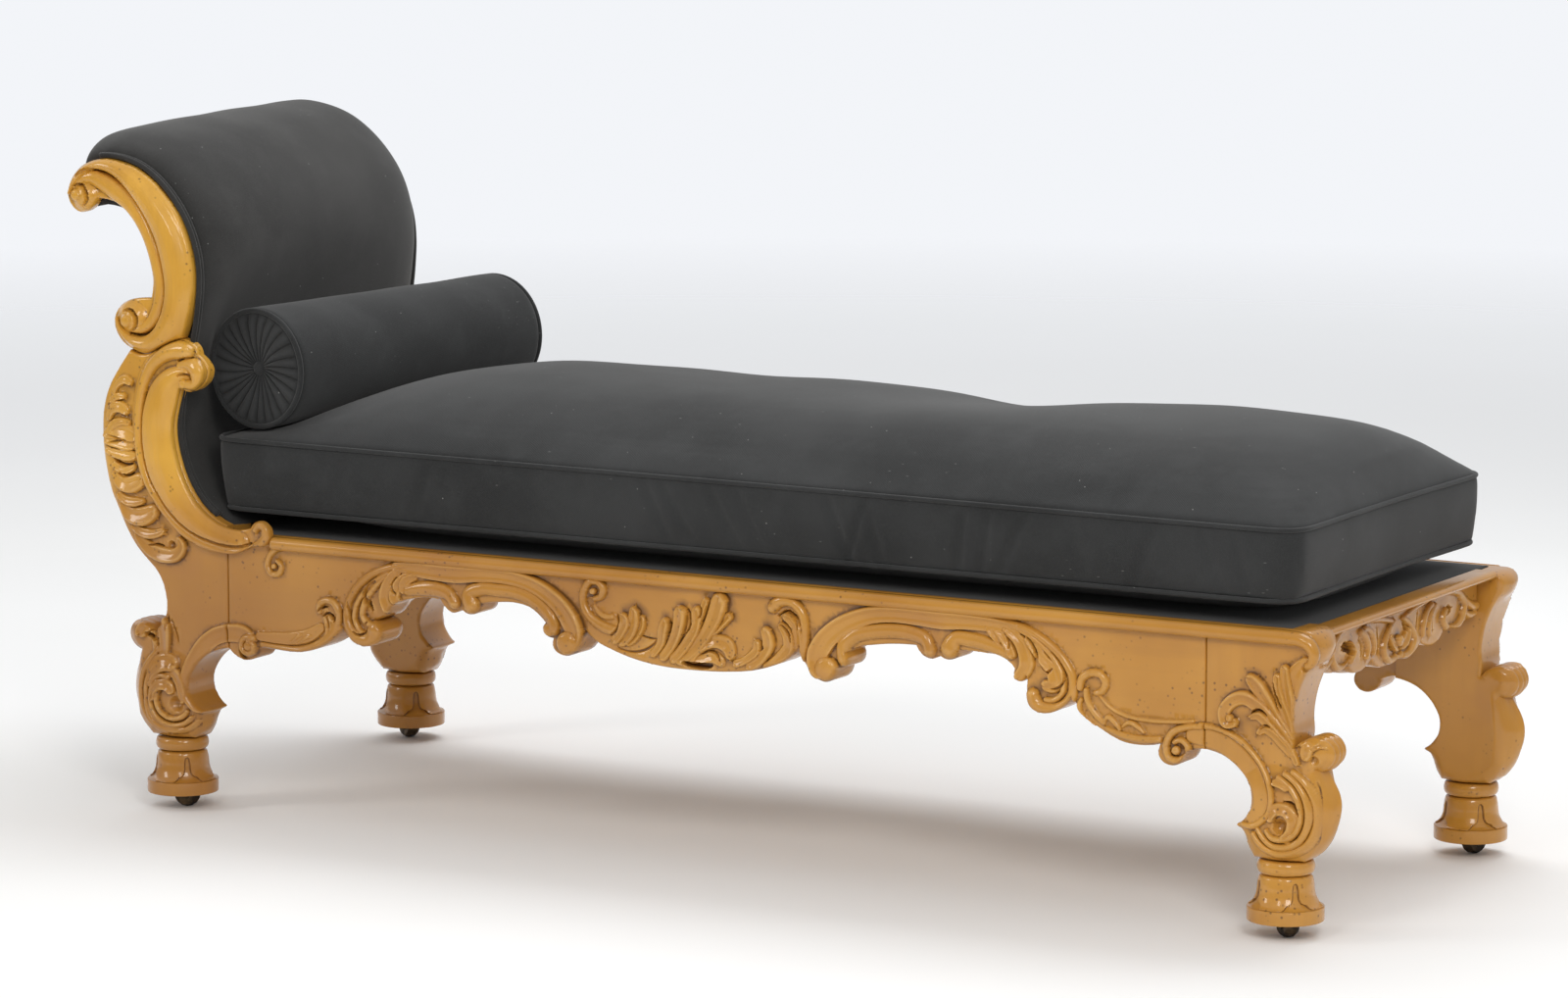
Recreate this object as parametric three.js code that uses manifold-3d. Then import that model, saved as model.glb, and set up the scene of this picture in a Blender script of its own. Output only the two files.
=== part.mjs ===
// A carved daybed with one scrolled headrest, a loose seat cushion and a bolster.
// Millimetres. +X runs to the foot end, -Y is the front, +Z is up.
import * as THREE from 'three';
import { mergeVertices } from 'three/addons/utils/BufferGeometryUtils.js';
import Module from 'manifold-3d';

const wasm = await Module();
wasm.setup();

// Driving sizes of the frame
const LEG_SPACING = 1600;
const LEG_SPREAD = 552;
const SIDE_THICK = 58;
const RAIL_THICK = 45;
const RAIL_TOP = 360;
const RAIL_DEPTH = 160;
const DECK_RISE = 10;
const HEADREST_BASE_RISE = 20;
const FRONT_RIM_RISE = 6;
const BACK_RIM_RISE = -2;
const RIM_LIP = 14;
const MOULDING_HEIGHT = 18;
const MOULDING_PROUD = 13;
const MOULDING_END_GAP = 1.5;
const MOULDING_STOP = 18;
const SEAM_REACH = 95;
const BELLY_HALF = 65;
const BELLY_THICK = 57;
const FIT_GAP = 0.3;
const OVERRUN = 20;
const CURVE_STEPS = 2;

// Headrest
const HEADREST_REACH = 100;
const HEADREST_RISE = 500;
const HEAD_LEAN = 57;
const LEAN_EASE = 0.3;
const FACING_THICK = 18;
const LOWER_SCROLL_THICK = 13;
const POST_DEPTH = 32;
const POST_THICK = 27;
const BACK_COVER_THICK = 6;
const PAD_GAP = 0.5;
const PAD_CROWN = 38;
const PAD_LAP_DROP = 6;
const PAD_STATIONS = 10;
const PAD_CLIMB = [0.46, 0.84];
const PAD_SPREAD = [5, 0.6];
const PAD_ROLL_STEPS = 6;
const PAD_ROLL_FULLNESS = 0.35;
const PAD_ROLL_DROP = 0.12;
const HEAD_RAIL_THICK = 36;
const HEAD_RAIL_DEPTH = 45;

// Turned feet and castors
const FOOT_RING_TOP = 95;
const FOOT_RING_HEIGHT = 17;
const FOOT_RING_RADIUS = 34.8;
const FOOT_RING_EASE = 3.4;
const FOOT_NECK_RADIUS = 28;
const FOOT_DISC_RADIUS = 47;
const FOOT_DISC_HEIGHT = 17;
const FOOT_BASE = 20.5;
const SPIGOT_RADIUS = 12;
const SPIGOT_LENGTH = 30;
const TURN_SIDES = 20;
const RECESS_RADIUS = 27;
const RECESS_DEPTH = 28;
const WHEEL_RADIUS = 17;
const WHEEL_WIDTH = 18;
const WHEEL_SIDES = 16;
const TREAD_EASE = 3;
const CASTOR_TRAIL = 6;
const CHEEK_THICK = 2.4;
const CHEEK_WIDTH = 13;
const CROWN_THICK = 3;
const PLATE_THICK = 3;
const PLATE_RADIUS = 24;
const STEM_RADIUS = 5;
const STEM_LENGTH = 24;
const STEM_END_GAP = 5;
const STEM_SOCKET_WALL = 2;
const STEM_CLEARANCE = 0.4;
const AXLE_RADIUS = 3;
const AXLE_CLEARANCE = 0.3;
const SIDE_CLEARANCE = 0.6;
const CASTOR_TURNS = { front_head: 24, front_foot: -38, back_head: 152, back_foot: 68 };

// Deck and hidden frame
const SLAT_COUNT = 3;
const SLAT_WIDTH = 60;
const SLAT_HEIGHT = 24;
const DECK_BOARD_THICK = 8;
const FOOT_RAIL_FACE = 20;
const FOOT_RAIL_THICK = 32;
const FOOT_RAIL_DEPTH = 69;
const FOOT_MOULDING_PROUD = 24;
const FOOT_MOULDING_WIDTH = 30;
const FOOT_MOULDING_RISE = 1;
const BLOCK_LEG = 42;
const BLOCK_HEIGHT = 54;

// Seat cushion
const CUSHION_HEAD_END = 70;
const CUSHION_FOOT_END = 8;
const CUSHION_HEAD_SLANT = 14;
const CUSHION_FOOT_SLANT = 6;
const CUSHION_WIDTH = 566;
const CUSHION_SEAM_LIFT = 33;
const CUSHION_WALL = 86;
const CUSHION_CROWN = 87;
const CUSHION_HEAD_RISE = 4;
const CUSHION_CORNER = 26;
const CUSHION_DRAW = 7;
const CUSHION_ROWS = 24;
const CUSHION_COLUMNS = 12;
const CUSHION_EDGE_POWER = 8;
const CUSHION_CORNER_SHARE = 0.3;
const CUSHION_HEAD_CLIMB = 0.42;
const CUSHION_FOOT_FALL = [11, 0.6];
const CUSHION_SIDE_FALL = [2.6, 0.8];

// Bolster
const BOLSTER_RADIUS = 79;
const BOLSTER_LENGTH = 498;
const BOLSTER_TURN = 7;
const BOLSTER_FROM_HEAD = 134;
const BOLSTER_AXIS_RISE = 213.5;
const BOLSTER_ROUND = 8;
const BOLSTER_RIM = [[1, 0], [0.17, 0.25], [0, 1]];
const BOLSTER_DIMPLE = 9;
const BOLSTER_SIDES = 32;
const BOLSTER_CLEARANCE = 0.7;
const BUTTON_RADIUS = 9;
const BUTTON_THICK = 5;
const BUTTON_SEAT_SHARE = 0.75;
const BUTTON_EDGE_SHARES = [0.8, 0.7];

// Places worked out from the driving sizes
const HALF_SPACING = LEG_SPACING / 2;
const LEG_Y = LEG_SPREAD / 2;
const OUTER_Y = LEG_Y + SIDE_THICK / 2;
const INNER_Y = LEG_Y - SIDE_THICK / 2;
const RAIL_INNER_Y = OUTER_Y - RAIL_THICK;
const FACING_INNER_Y = OUTER_Y - FACING_THICK;
const DECK_TOP = RAIL_TOP + DECK_RISE;
const HEAD_BASE = RAIL_TOP + HEADREST_BASE_RISE;
const REBATE_Y = OUTER_Y - RIM_LIP;
const SEAM_X = HALF_SPACING - SEAM_REACH;
const RIM_FRONT_Y = FACING_INNER_Y - FIT_GAP;
const FOOT_FACE_X = HALF_SPACING + FOOT_RAIL_FACE;
const FOOT_MOULDING_OUT = FOOT_FACE_X + FOOT_MOULDING_PROUD;
const FOOT_MOULDING_IN = FOOT_MOULDING_OUT - FOOT_MOULDING_WIDTH;

const WOOD = { color: 0xc8924a, roughness: 0.32, metalness: 0 };
const INNER_WOOD = { color: 0xb58a58, roughness: 0.7, metalness: 0 };
const FABRIC = { color: 0x32322f, roughness: 0.95, metalness: 0 };
const BRONZE = { color: 0x3a2c20, roughness: 0.45, metalness: 0.8 };

// Outlines. Leg tables give [outward share of BELLY_HALF, height share of RAIL_TOP], from the ring up.
const LEG_FOOT_SHARE = 0.2645;
const ARCH_SHARES = [
  [-0.815, 0.378], [-0.74, 0.386], [-0.63, 0.406], [-0.54, 0.431], [-0.51, 0.458], [-0.52, 0.489],
  [-0.63, 0.531], [-0.815, 0.569], [-1.015, 0.594], [-1.25, 0.61],
];
const SEAM_FOOT_SHARE = 0.617;
const INNER_BELLY_SHARES = [[-0.5, 0.267], [-0.65, 0.29], [-0.76, 0.32], [-0.82, 0.355], [-0.815, 0.378]];
const OUTER_BELLY_SHARES = [
  [0.5, 0.267], [0.66, 0.292], [0.79, 0.333], [0.86, 0.397], [0.87, 0.458], [0.82, 0.519], [0.72, 0.582],
];
const KNOB_SHARES = [
  [0.72, 0.582], [0.88, 0.6], [0.96, 0.632], [0.9, 0.664], [0.72, 0.682], [0.51, 0.678], [0.34, 0.652],
];
const FOOT_WAIST_SHARES = [
  [0.34, 0.652], [0.36, 0.694], [0.34, 0.736], [0.36, 0.783], [0.42, 0.833], [0.52, 0.883], [0.64, 0.928],
  [0.74, 0.956], [0.78, 0.985], [0.74, 1.015], [0.64, 1.036],
];
const NOSE_BACK_SHARES = [0.5, 1];
const HEAD_WAIST_SHARES = [[0.34, 0.652], [0.12, 0.694], [0.05, 0.744], [0.08, 0.8], [0.17, 0.847], [0.34, 0.889]];
// Half width and height of the round belly under each leg, as shares of the same two sizes
const BULB_SHARES = [
  [0.54, 0.2645], [0.78, 0.292], [0.94, 0.328], [1.02, 0.375], [1.045, 0.436], [1, 0.5], [0.87, 0.556],
  [0.67, 0.603], [0.4, 0.636],
];
const BULB_TOP_SHARE = 0.65;
const SPUR_SHARE = 0.37;

// Headrest tables give [outward share of HEADREST_REACH, share of HEADREST_RISE above its base].
const BACK_EDGE_SHARES = [
  [0.38, -0.092], [0.55, -0.056], [0.7, -0.012], [0.82, 0.036], [0.92, 0.084], [0.99, 0.134], [1.03, 0.184],
  [1.035, 0.236], [1.01, 0.284], [0.95, 0.326], [0.86, 0.364], [0.74, 0.4], [0.55, 0.45],
];
const SCROLL_SEAT_SHARES = [[0.55, 0.45], [0.4, 0.44], [0.22, 0.446], [0.05, 0.462], [-0.12, 0.478], [-0.28, 0.488]];
const BLOB_SHARES = [[-0.28, 0.488], [-0.4, 0.482], [-0.5, 0.466], [-0.53, 0.448]];
const INNER_KNOB_SHARES = [
  [-0.53, 0.448], [-0.62, 0.434], [-0.69, 0.414], [-0.67, 0.388], [-0.56, 0.364], [-0.41, 0.352], [-0.28, 0.36],
];
const FRONT_EDGE_SHARES = [
  [-0.28, 0.36], [-0.21, 0.31], [-0.16, 0.26], [-0.17, 0.216], [-0.23, 0.168], [-0.32, 0.122], [-0.44, 0.082],
  [-0.59, 0.048], [-0.76, 0.024], [-0.95, 0.008],
];
const LOWER_SCROLL_BACK_SHARES = [
  [0.06, 0.458], [0.24, 0.436], [0.35, 0.406], [0.42, 0.372], [0.47, 0.332], [0.5, 0.284], [0.5, 0.236],
  [0.47, 0.186], [0.4, 0.138], [0.3, 0.094], [0.17, 0.054], [0.02, 0.018], [-0.14, -0.012], [-0.32, -0.036],
  [-0.58, -0.054], [-0.88, -0.062], [-1.15, -0.06], [-1.32, -0.044],
];
const TAIL_VOLUTE_SHARES = [
  [-1.32, -0.044], [-1.45, -0.036], [-1.6, -0.034], [-1.69, -0.016], [-1.68, 0.012], [-1.57, 0.03],
  [-1.43, 0.026], [-1.34, 0.008],
];
const TAIL_TOP_SHARES = [[-1.34, 0.008], [-1.15, 0.002], [-0.95, 0.008]];
const UPPER_OUTER_SHARES = [
  [-0.28, 0.488], [-0.36, 0.526], [-0.42, 0.564], [-0.46, 0.608], [-0.47, 0.652], [-0.44, 0.7], [-0.37, 0.752],
  [-0.25, 0.804], [-0.09, 0.85], [0.12, 0.89], [0.38, 0.922], [0.66, 0.94], [0.93, 0.946], [1.16, 0.936],
  [1.36, 0.916], [1.5, 0.882], [1.55, 0.848], [1.5, 0.82], [1.38, 0.802], [1.24, 0.804], [1.11, 0.82],
  [1.05, 0.84],
];
const UPPER_INNER_SHARES = [
  [1.05, 0.84], [0.85, 0.836], [0.66, 0.822], [0.5, 0.796], [0.38, 0.76], [0.29, 0.716], [0.23, 0.67],
  [0.21, 0.63], [0.24, 0.588],
];
const UPPER_VOLUTE_SHARES = [
  [0.24, 0.588], [0.4, 0.586], [0.57, 0.58], [0.72, 0.564], [0.81, 0.54], [0.83, 0.514], [0.78, 0.486],
  [0.68, 0.464], [0.55, 0.45],
];
// The headrest's section from the deck to the top: the pad's face, and the middle of the frame behind it
const PAD_FACE_SHARES = [
  [-0.94, 0], [-0.72, 0.032], [-0.55, 0.058], [-0.36, 0.106], [-0.24, 0.156], [-0.16, 0.214],
  [-0.14, 0.27], [-0.18, 0.33], [-0.25, 0.39], [-0.33, 0.45], [-0.4, 0.51], [-0.45, 0.57], [-0.48, 0.63],
  [-0.47, 0.686], [-0.4, 0.744], [-0.27, 0.8], [-0.09, 0.85], [0.14, 0.894], [0.42, 0.928], [0.72, 0.944],
  [1.02, 0.945], [1.3, 0.92],
];
const FRAME_LINE_SHARES = [
  [0.12, 0], [0.15, 0.04], [0.19, 0.08], [0.24, 0.126], [0.29, 0.172], [0.32, 0.224], [0.32, 0.274],
  [0.28, 0.326], [0.2, 0.38], [0.11, 0.44], [0.02, 0.502], [-0.06, 0.564], [-0.1, 0.628], [-0.09, 0.684],
  [-0.03, 0.734], [0.07, 0.778], [0.22, 0.816], [0.41, 0.846], [0.62, 0.866], [0.84, 0.876], [1.02, 0.879],
  [1.22, 0.87],
];
const LAP_STATION = 17;
const MID_RAIL_STATIONS = [9, 11];
const TOP_RAIL_STATIONS = [17, 21];

// Rail tables give [share of HALF_SPACING from the middle, share of RAIL_DEPTH below RAIL_TOP].
const RAIL_EDGE_SHARES = [
  [[-0.881, 0.8625], [-0.865, 0.925], [-0.846, 0.944], [-0.83, 0.9125], [-0.8225, 0.831]],
  [[-0.8225, 0.831], [-0.8, 0.831], [-0.765, 0.8375], [-0.735, 0.825], [-0.7075, 0.7875], [-0.681, 0.719],
    [-0.6575, 0.606]],
  [[-0.6575, 0.606], [-0.65, 0.6625], [-0.6325, 0.706], [-0.614, 0.725], [-0.595, 0.706], [-0.581, 0.65],
    [-0.5775, 0.5875], [-0.584, 0.531], [-0.595, 0.506]],
  [[-0.595, 0.506], [-0.574, 0.456], [-0.559, 0.369], [-0.52, 0.3], [-0.4725, 0.2875]],
  [[-0.4725, 0.2875], [-0.464, 0.344], [-0.451, 0.3875], [-0.434, 0.35]],
  [[-0.434, 0.35], [-0.414, 0.3875], [-0.399, 0.35], [-0.395, 0.294]],
  [[-0.395, 0.294], [-0.3625, 0.266], [-0.3325, 0.259], [-0.304, 0.2875], [-0.286, 0.344], [-0.276, 0.394]],
  [[-0.276, 0.394], [-0.281, 0.4375], [-0.276, 0.4875], [-0.261, 0.5125]],
  [[-0.261, 0.5125], [-0.2625, 0.575], [-0.254, 0.625], [-0.239, 0.644], [-0.22, 0.6125], [-0.2075, 0.544],
    [-0.201, 0.425]],
  [[-0.201, 0.425], [-0.1825, 0.5], [-0.155, 0.556], [-0.115, 0.6125], [-0.0625, 0.65], [-0.0075, 0.656],
    [0.05, 0.644], [0.1, 0.6125], [0.135, 0.5625], [0.165, 0.494], [0.189, 0.375]],
  [[0.189, 0.375], [0.1925, 0.469], [0.201, 0.556], [0.214, 0.619], [0.23, 0.644], [0.246, 0.6125],
    [0.255, 0.519]],
  [[0.255, 0.519], [0.2675, 0.506], [0.275, 0.45], [0.2725, 0.3875]],
  [[0.2725, 0.3875], [0.2875, 0.344], [0.3125, 0.319], [0.35, 0.294], [0.39, 0.2875]],
  [[0.39, 0.2875], [0.399, 0.35], [0.4125, 0.381], [0.43, 0.35]],
  [[0.43, 0.35], [0.4475, 0.375], [0.461, 0.344], [0.465, 0.294]],
  [[0.465, 0.294], [0.506, 0.294], [0.5375, 0.3125], [0.559, 0.3875]],
  [[0.559, 0.3875], [0.559, 0.45], [0.5675, 0.4875], [0.5825, 0.4375]],
  [[0.5825, 0.4375], [0.581, 0.575], [0.586, 0.656], [0.6, 0.7], [0.6175, 0.706], [0.6375, 0.669],
    [0.66, 0.5625]],
  [[0.66, 0.5625], [0.669, 0.65], [0.685, 0.725], [0.7125, 0.806], [0.7425, 0.869], [0.775, 0.881],
    [0.806, 0.856]],
  [[0.806, 0.856], [0.8025, 0.931], [0.811, 0.994], [0.826, 1.0125], [0.841, 0.981], [0.85, 0.9]],
  [[0.85, 0.9], [0.865, 0.869], [0.881, 0.8625]],
];
// Half of the foot rail's lower edge: [share of INNER_Y from the middle, share of FOOT_RAIL_DEPTH below RAIL_TOP]
const FOOT_RAIL_EDGE_SHARES = [
  [[0, 0.92], [0.1, 1], [0.22, 0.97], [0.3, 0.8]],
  [[0.3, 0.8], [0.4, 0.93], [0.52, 0.9], [0.6, 0.66]],
  [[0.6, 0.66], [0.72, 0.78], [0.86, 0.72], [1, 0.62]],
];
// The nose of a moulding: [share of its width from its back, share of its height]
const NOSE_SHARES = [[0.82, 0], [0.95, 0.1], [1, 0.38], [0.99, 0.7], [0.92, 0.94], [0.84, 1]];
// The bell of a turned foot: [share of the way from neck to disc radius, share of the bell's height]
const BELL_SHARES = [[1, 0], [0.62, 0.06], [0.34, 0.2], [0.2, 0.45], [0.12, 0.75], [0.02, 1]];

// Geometry helpers
const legHeight = (up) => THREE.MathUtils.mapLinear(up, LEG_FOOT_SHARE, 1, FOOT_RING_TOP + FIT_GAP, RAIL_TOP);
const legPoint = (side) => ([out, up]) => [side * (HALF_SPACING + out * BELLY_HALF), legHeight(up)];
const headPoint = ([out, up]) => [-HALF_SPACING - out * HEADREST_REACH, HEAD_BASE + up * HEADREST_RISE];
const rimTop = (side) => DECK_TOP + (side < 0 ? FRONT_RIM_RISE : BACK_RIM_RISE);
const railPoint = ([along, down]) => [along * HALF_SPACING, RAIL_TOP - down * RAIL_DEPTH];
const reversed = (points) => [...points].reverse();
const lifted = (points, rise) => points.map(([across, up]) => [across, up + rise]);

// Closed shape through runs of points: smooth inside a run, a corner where two runs meet
function smoothShape(runs) {
  const shape = new THREE.Shape();
  shape.moveTo(...runs[0][0]);
  for (const run of runs) {
    const points = run.map(([across, up]) => new THREE.Vector2(across, up));
    const [start] = points;
    if (!shape.currentPoint.equals(start)) shape.lineTo(start.x, start.y);
    if (points.length > 2) shape.splineThru(points.slice(1));
    else shape.lineTo(points[1].x, points[1].y);
  }
  return shape;
}

function extruded(shape, depth) {
  return new THREE.ExtrudeGeometry(shape, { depth, curveSegments: CURVE_STEPS, bevelEnabled: false });
}

// A board whose outline lies in the XZ plane, between two places across the couch
function sideBoard(shape, low, high) {
  return extruded(shape, high - low).rotateX(Math.PI / 2).translate(0, high, 0);
}

// A bar whose section lies in the YZ plane, between two places along the couch
function longBar(shape, low, high) {
  const along = new THREE.Vector3(1, 0, 0);
  const turn = new THREE.Matrix4().makeBasis(new THREE.Vector3(0, 1, 0), new THREE.Vector3(0, 0, 1), along);
  return extruded(shape, high - low).applyMatrix4(turn).translate(low, 0, 0);
}

// A sheet whose outline lies in the XY plane, between two heights
function flatSheet(shape, low, high) {
  return extruded(shape, high - low).translate(0, 0, low);
}

function block(xLow, xHigh, yLow, yHigh, zLow, zHigh) {
  const box = new THREE.BoxGeometry(xHigh - xLow, yHigh - yLow, zHigh - zLow);
  return box.translate((xLow + xHigh) / 2, (yLow + yHigh) / 2, (zLow + zHigh) / 2);
}

// A turned piece about +Z, from [radius, height] points
function turned(profile, sides = TURN_SIDES) {
  return new THREE.LatheGeometry(profile.map(([r, z]) => new THREE.Vector2(r, z)), sides).rotateX(Math.PI / 2);
}

function toSolid(geometry) {
  const bare = geometry.clone();
  bare.deleteAttribute('normal');
  bare.deleteAttribute('uv');
  const merged = mergeVertices(bare);
  const triVerts = Uint32Array.from(merged.index.array);
  const vertProperties = Float32Array.from(merged.attributes.position.array);
  return new wasm.Manifold(new wasm.Mesh({ numProp: 3, vertProperties, triVerts }));
}

function toGeometry(solid) {
  const mesh = solid.getMesh();
  const geometry = new THREE.BufferGeometry();
  geometry.setAttribute('position', new THREE.BufferAttribute(Float32Array.from(mesh.vertProperties), 3));
  geometry.setIndex(new THREE.BufferAttribute(Uint32Array.from(mesh.triVerts), 1));
  geometry.computeVertexNormals();
  return geometry;
}

const cut = (body, ...tools) => toGeometry(tools.reduce((left, tool) => left.subtract(toSolid(tool)), toSolid(body)));
const join = (body, ...more) => toGeometry(more.reduce((left, other) => left.add(toSolid(other)), toSolid(body)));

// Skin over rings of points that close on themselves, with flat ends; the first ring faces backwards
function lofted(rings, flatten) {
  const count = rings[0].length;
  const positions = rings.flat().flatMap((point) => point.toArray());
  const faces = [];
  for (let ring = 0; ring < rings.length - 1; ring += 1) {
    for (let step = 0; step < count; step += 1) {
      const next = (step + 1) % count;
      const a = ring * count + step;
      const b = ring * count + next;
      faces.push(a, b, a + count, b, b + count, a + count);
    }
  }
  const last = (rings.length - 1) * count;
  for (const [a, b, c] of THREE.ShapeUtils.triangulateShape(rings[0].map(flatten), [])) {
    faces.push(a, c, b, last + a, last + b, last + c);
  }
  const geometry = new THREE.BufferGeometry();
  geometry.setAttribute('position', new THREE.Float32BufferAttribute(positions, 3));
  geometry.setIndex(faces);
  return facedOut(geometry);
}

// Turn the faces round where the skin encloses a negative volume
function facedOut(geometry) {
  const index = geometry.index.array;
  const corner = [new THREE.Vector3(), new THREE.Vector3(), new THREE.Vector3()];
  let volume = 0;
  for (let face = 0; face < index.length; face += 3) {
    corner.forEach((point, k) => point.fromBufferAttribute(geometry.attributes.position, index[face + k]));
    volume += corner[0].dot(corner[1].clone().cross(corner[2]));
  }
  if (volume < 0) {
    for (let face = 0; face < index.length; face += 3) {
      [index[face], index[face + 1]] = [index[face + 1], index[face]];
    }
  }
  geometry.computeVertexNormals();
  return geometry;
}

// The back of the headrest leans further than its front, most of it in its lower half
function leaned(geometry) {
  const place = geometry.attributes.position;
  for (let i = 0; i < place.count; i += 1) {
    const rise = Math.max(place.getZ(i) - HEAD_BASE, 0) / HEADREST_RISE;
    const share = (place.getY(i) + OUTER_Y) / (2 * OUTER_Y);
    const eased = (rise * (1 + LEAN_EASE)) / (rise + LEAN_EASE);
    place.setX(i, place.getX(i) - HEAD_LEAN * eased * share);
  }
  geometry.computeVertexNormals();
  return geometry;
}

const couch = new THREE.Group();
function add(name, geometry, finish) {
  const mesh = new THREE.Mesh(geometry, new THREE.MeshStandardMaterial(finish));
  mesh.name = name;
  couch.add(mesh);
  return mesh;
}

const SIDES = [['front', -1], ['back', 1]];
const ENDS = [['head', -1], ['foot', 1]];

// Place a board of a given depth at one side: [low, high] across the couch
const across = (side, inner, outer) => (side < 0 ? [-outer, -inner] : [inner, outer]);

// Round belly of a leg, flattened to the board's thickness and left out of the arch above the spur
function legBulb(end, side) {
  const profile = BULB_SHARES.map(([out, up]) => [out * BELLY_HALF, legHeight(up)]);
  const closed = [[0, profile[0][1]], ...profile, [0, legHeight(BULB_TOP_SHARE)]];
  const bulb = turned(closed).scale(1, BELLY_THICK / 2 / BELLY_HALF, 1);
  const reach = 2 * BELLY_HALF;
  const inward = [Math.min(0, -end * reach), Math.max(0, -end * reach)];
  const arch = block(...inward, -reach, reach, legHeight(SPUR_SHARE), legHeight(BULB_TOP_SHARE) + reach);
  return cut(bulb, arch).translate(end * HALF_SPACING, side * LEG_Y, 0);
}

function spigotHole(end, side) {
  const reach = FOOT_RING_TOP + SPIGOT_LENGTH + FIT_GAP;
  const radius = SPIGOT_RADIUS + FIT_GAP;
  const hole = turned([[0, 0], [radius, 0], [radius, reach], [0, reach]]);
  return hole.translate(end * HALF_SPACING, side * LEG_Y, 0);
}

// Inner half of a leg's outline, from the seam down the arch to the ring
function legInnerRuns(end) {
  const place = legPoint(end);
  const seam = [end * SEAM_X, legHeight(SEAM_FOOT_SHARE)];
  return [[seam, ...reversed(ARCH_SHARES.map(place))], reversed(INNER_BELLY_SHARES.map(place))];
}

function legOuterRuns(end, waist) {
  const place = legPoint(end);
  return [OUTER_BELLY_SHARES.map(place), KNOB_SHARES.map(place), waist.map(place)];
}

function footLeg(side) {
  const outer = legOuterRuns(1, FOOT_WAIST_SHARES);
  const noseBack = [legPoint(1)(NOSE_BACK_SHARES)[0], rimTop(side)];
  outer.at(-1).push(noseBack);
  const runs = [...legInnerRuns(1), ...outer, [noseBack, [SEAM_X, rimTop(side)]]];
  const board = sideBoard(smoothShape(runs), ...across(side, INNER_Y, OUTER_Y));
  return cut(join(board, legBulb(1, side)), spigotHole(1, side), deckRebate(side));
}

// The step inside the rim that the edge of the deck pad lies in
function deckRebate(side) {
  const depth = side < 0 ? [-REBATE_Y, OVERRUN - INNER_Y] : [INNER_Y - OVERRUN, REBATE_Y];
  return block(-SEAM_X, FOOT_MOULDING_IN, ...depth, RAIL_TOP, DECK_TOP + OVERRUN);
}

function headLeg(side) {
  const place = (shares) => shares.map(headPoint);
  const seamTop = [-SEAM_X, headPoint(FRONT_EDGE_SHARES.at(-1))[1]];
  const runs = [
    ...legInnerRuns(-1), ...legOuterRuns(-1, HEAD_WAIST_SHARES), place(BACK_EDGE_SHARES),
    place(SCROLL_SEAT_SHARES), place(BLOB_SHARES), place(INNER_KNOB_SHARES),
    [...place(FRONT_EDGE_SHARES.slice(0, -1)), seamTop],
  ];
  const board = sideBoard(smoothShape(runs), ...across(side, INNER_Y, OUTER_Y));
  const rebateFar = side * (INNER_Y - OVERRUN);
  const rebateNear = side * FACING_INNER_Y;
  const rebateTop = HEAD_BASE + HEADREST_RISE;
  const reach = 2 * HEADREST_REACH;
  const ends = [-HALF_SPACING - reach, -HALF_SPACING + reach];
  const depth = [Math.min(rebateFar, rebateNear), Math.max(rebateFar, rebateNear)];
  const rebate = block(...ends, ...depth, HEAD_BASE, rebateTop);
  return leaned(cut(join(board, legBulb(-1, side)), spigotHole(-1, side), rebate));
}

function upperScroll(side) {
  const seat = lifted(SCROLL_SEAT_SHARES.map(headPoint), FIT_GAP);
  const runs = [
    seat, [seat.at(-1), ...UPPER_OUTER_SHARES.slice(1).map(headPoint)], UPPER_INNER_SHARES.map(headPoint),
    [...UPPER_VOLUTE_SHARES.slice(0, -1).map(headPoint), seat[0]],
  ];
  return leaned(sideBoard(smoothShape(runs), ...across(side, FACING_INNER_Y, OUTER_Y)));
}

function lowerScroll(side) {
  const place = (shares) => shares.map(headPoint);
  const seat = lifted(place(SCROLL_SEAT_SHARES.slice(3)), -FIT_GAP);
  const runs = [
    place(LOWER_SCROLL_BACK_SHARES), place(TAIL_VOLUTE_SHARES), place(TAIL_TOP_SHARES),
    reversed(place(FRONT_EDGE_SHARES)), reversed(place(INNER_KNOB_SHARES)),
    [place(BLOB_SHARES).at(-1), ...reversed(place(BLOB_SHARES.slice(1, -1))), seat.at(-1)],
    reversed(seat),
  ];
  const near = OUTER_Y + FIT_GAP;
  return leaned(sideBoard(smoothShape(runs), ...across(side, near, near + LOWER_SCROLL_THICK)));
}

function sideRail(side) {
  const half = SEAM_X - FIT_GAP;
  const edge = RAIL_EDGE_SHARES.map((run) => run.map(railPoint));
  edge[0][0] = [-half, edge[0][0][1]];
  edge.at(-1)[edge.at(-1).length - 1] = [half, edge.at(-1).at(-1)[1]];
  const runs = [...edge, [[half, rimTop(side)], [-half, rimTop(side)]]];
  return cut(sideBoard(smoothShape(runs), ...across(side, RAIL_INNER_Y, OUTER_Y)), deckRebate(side));
}

// Section of a moulding: flat back, bottom and top, rounded nose
function noseSection(back, direction, width, bottom, top) {
  const nose = NOSE_SHARES.map(([out, up]) => [back + direction * out * width, bottom + up * (top - bottom)]);
  return smoothShape([[[back, bottom], nose[0]], nose, [nose.at(-1), [back, top]]]);
}

// Bead along the top of a side's outer face, from the scroll's tail to the foot leg's nose
function sideMoulding(side) {
  const start = headPoint(TAIL_VOLUTE_SHARES[3])[0] + MOULDING_END_GAP;
  const back = side * (OUTER_Y + FIT_GAP);
  const section = noseSection(back, side, MOULDING_PROUD, rimTop(side) - MOULDING_HEIGHT, rimTop(side));
  return longBar(section, start, HALF_SPACING + MOULDING_STOP);
}

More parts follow.
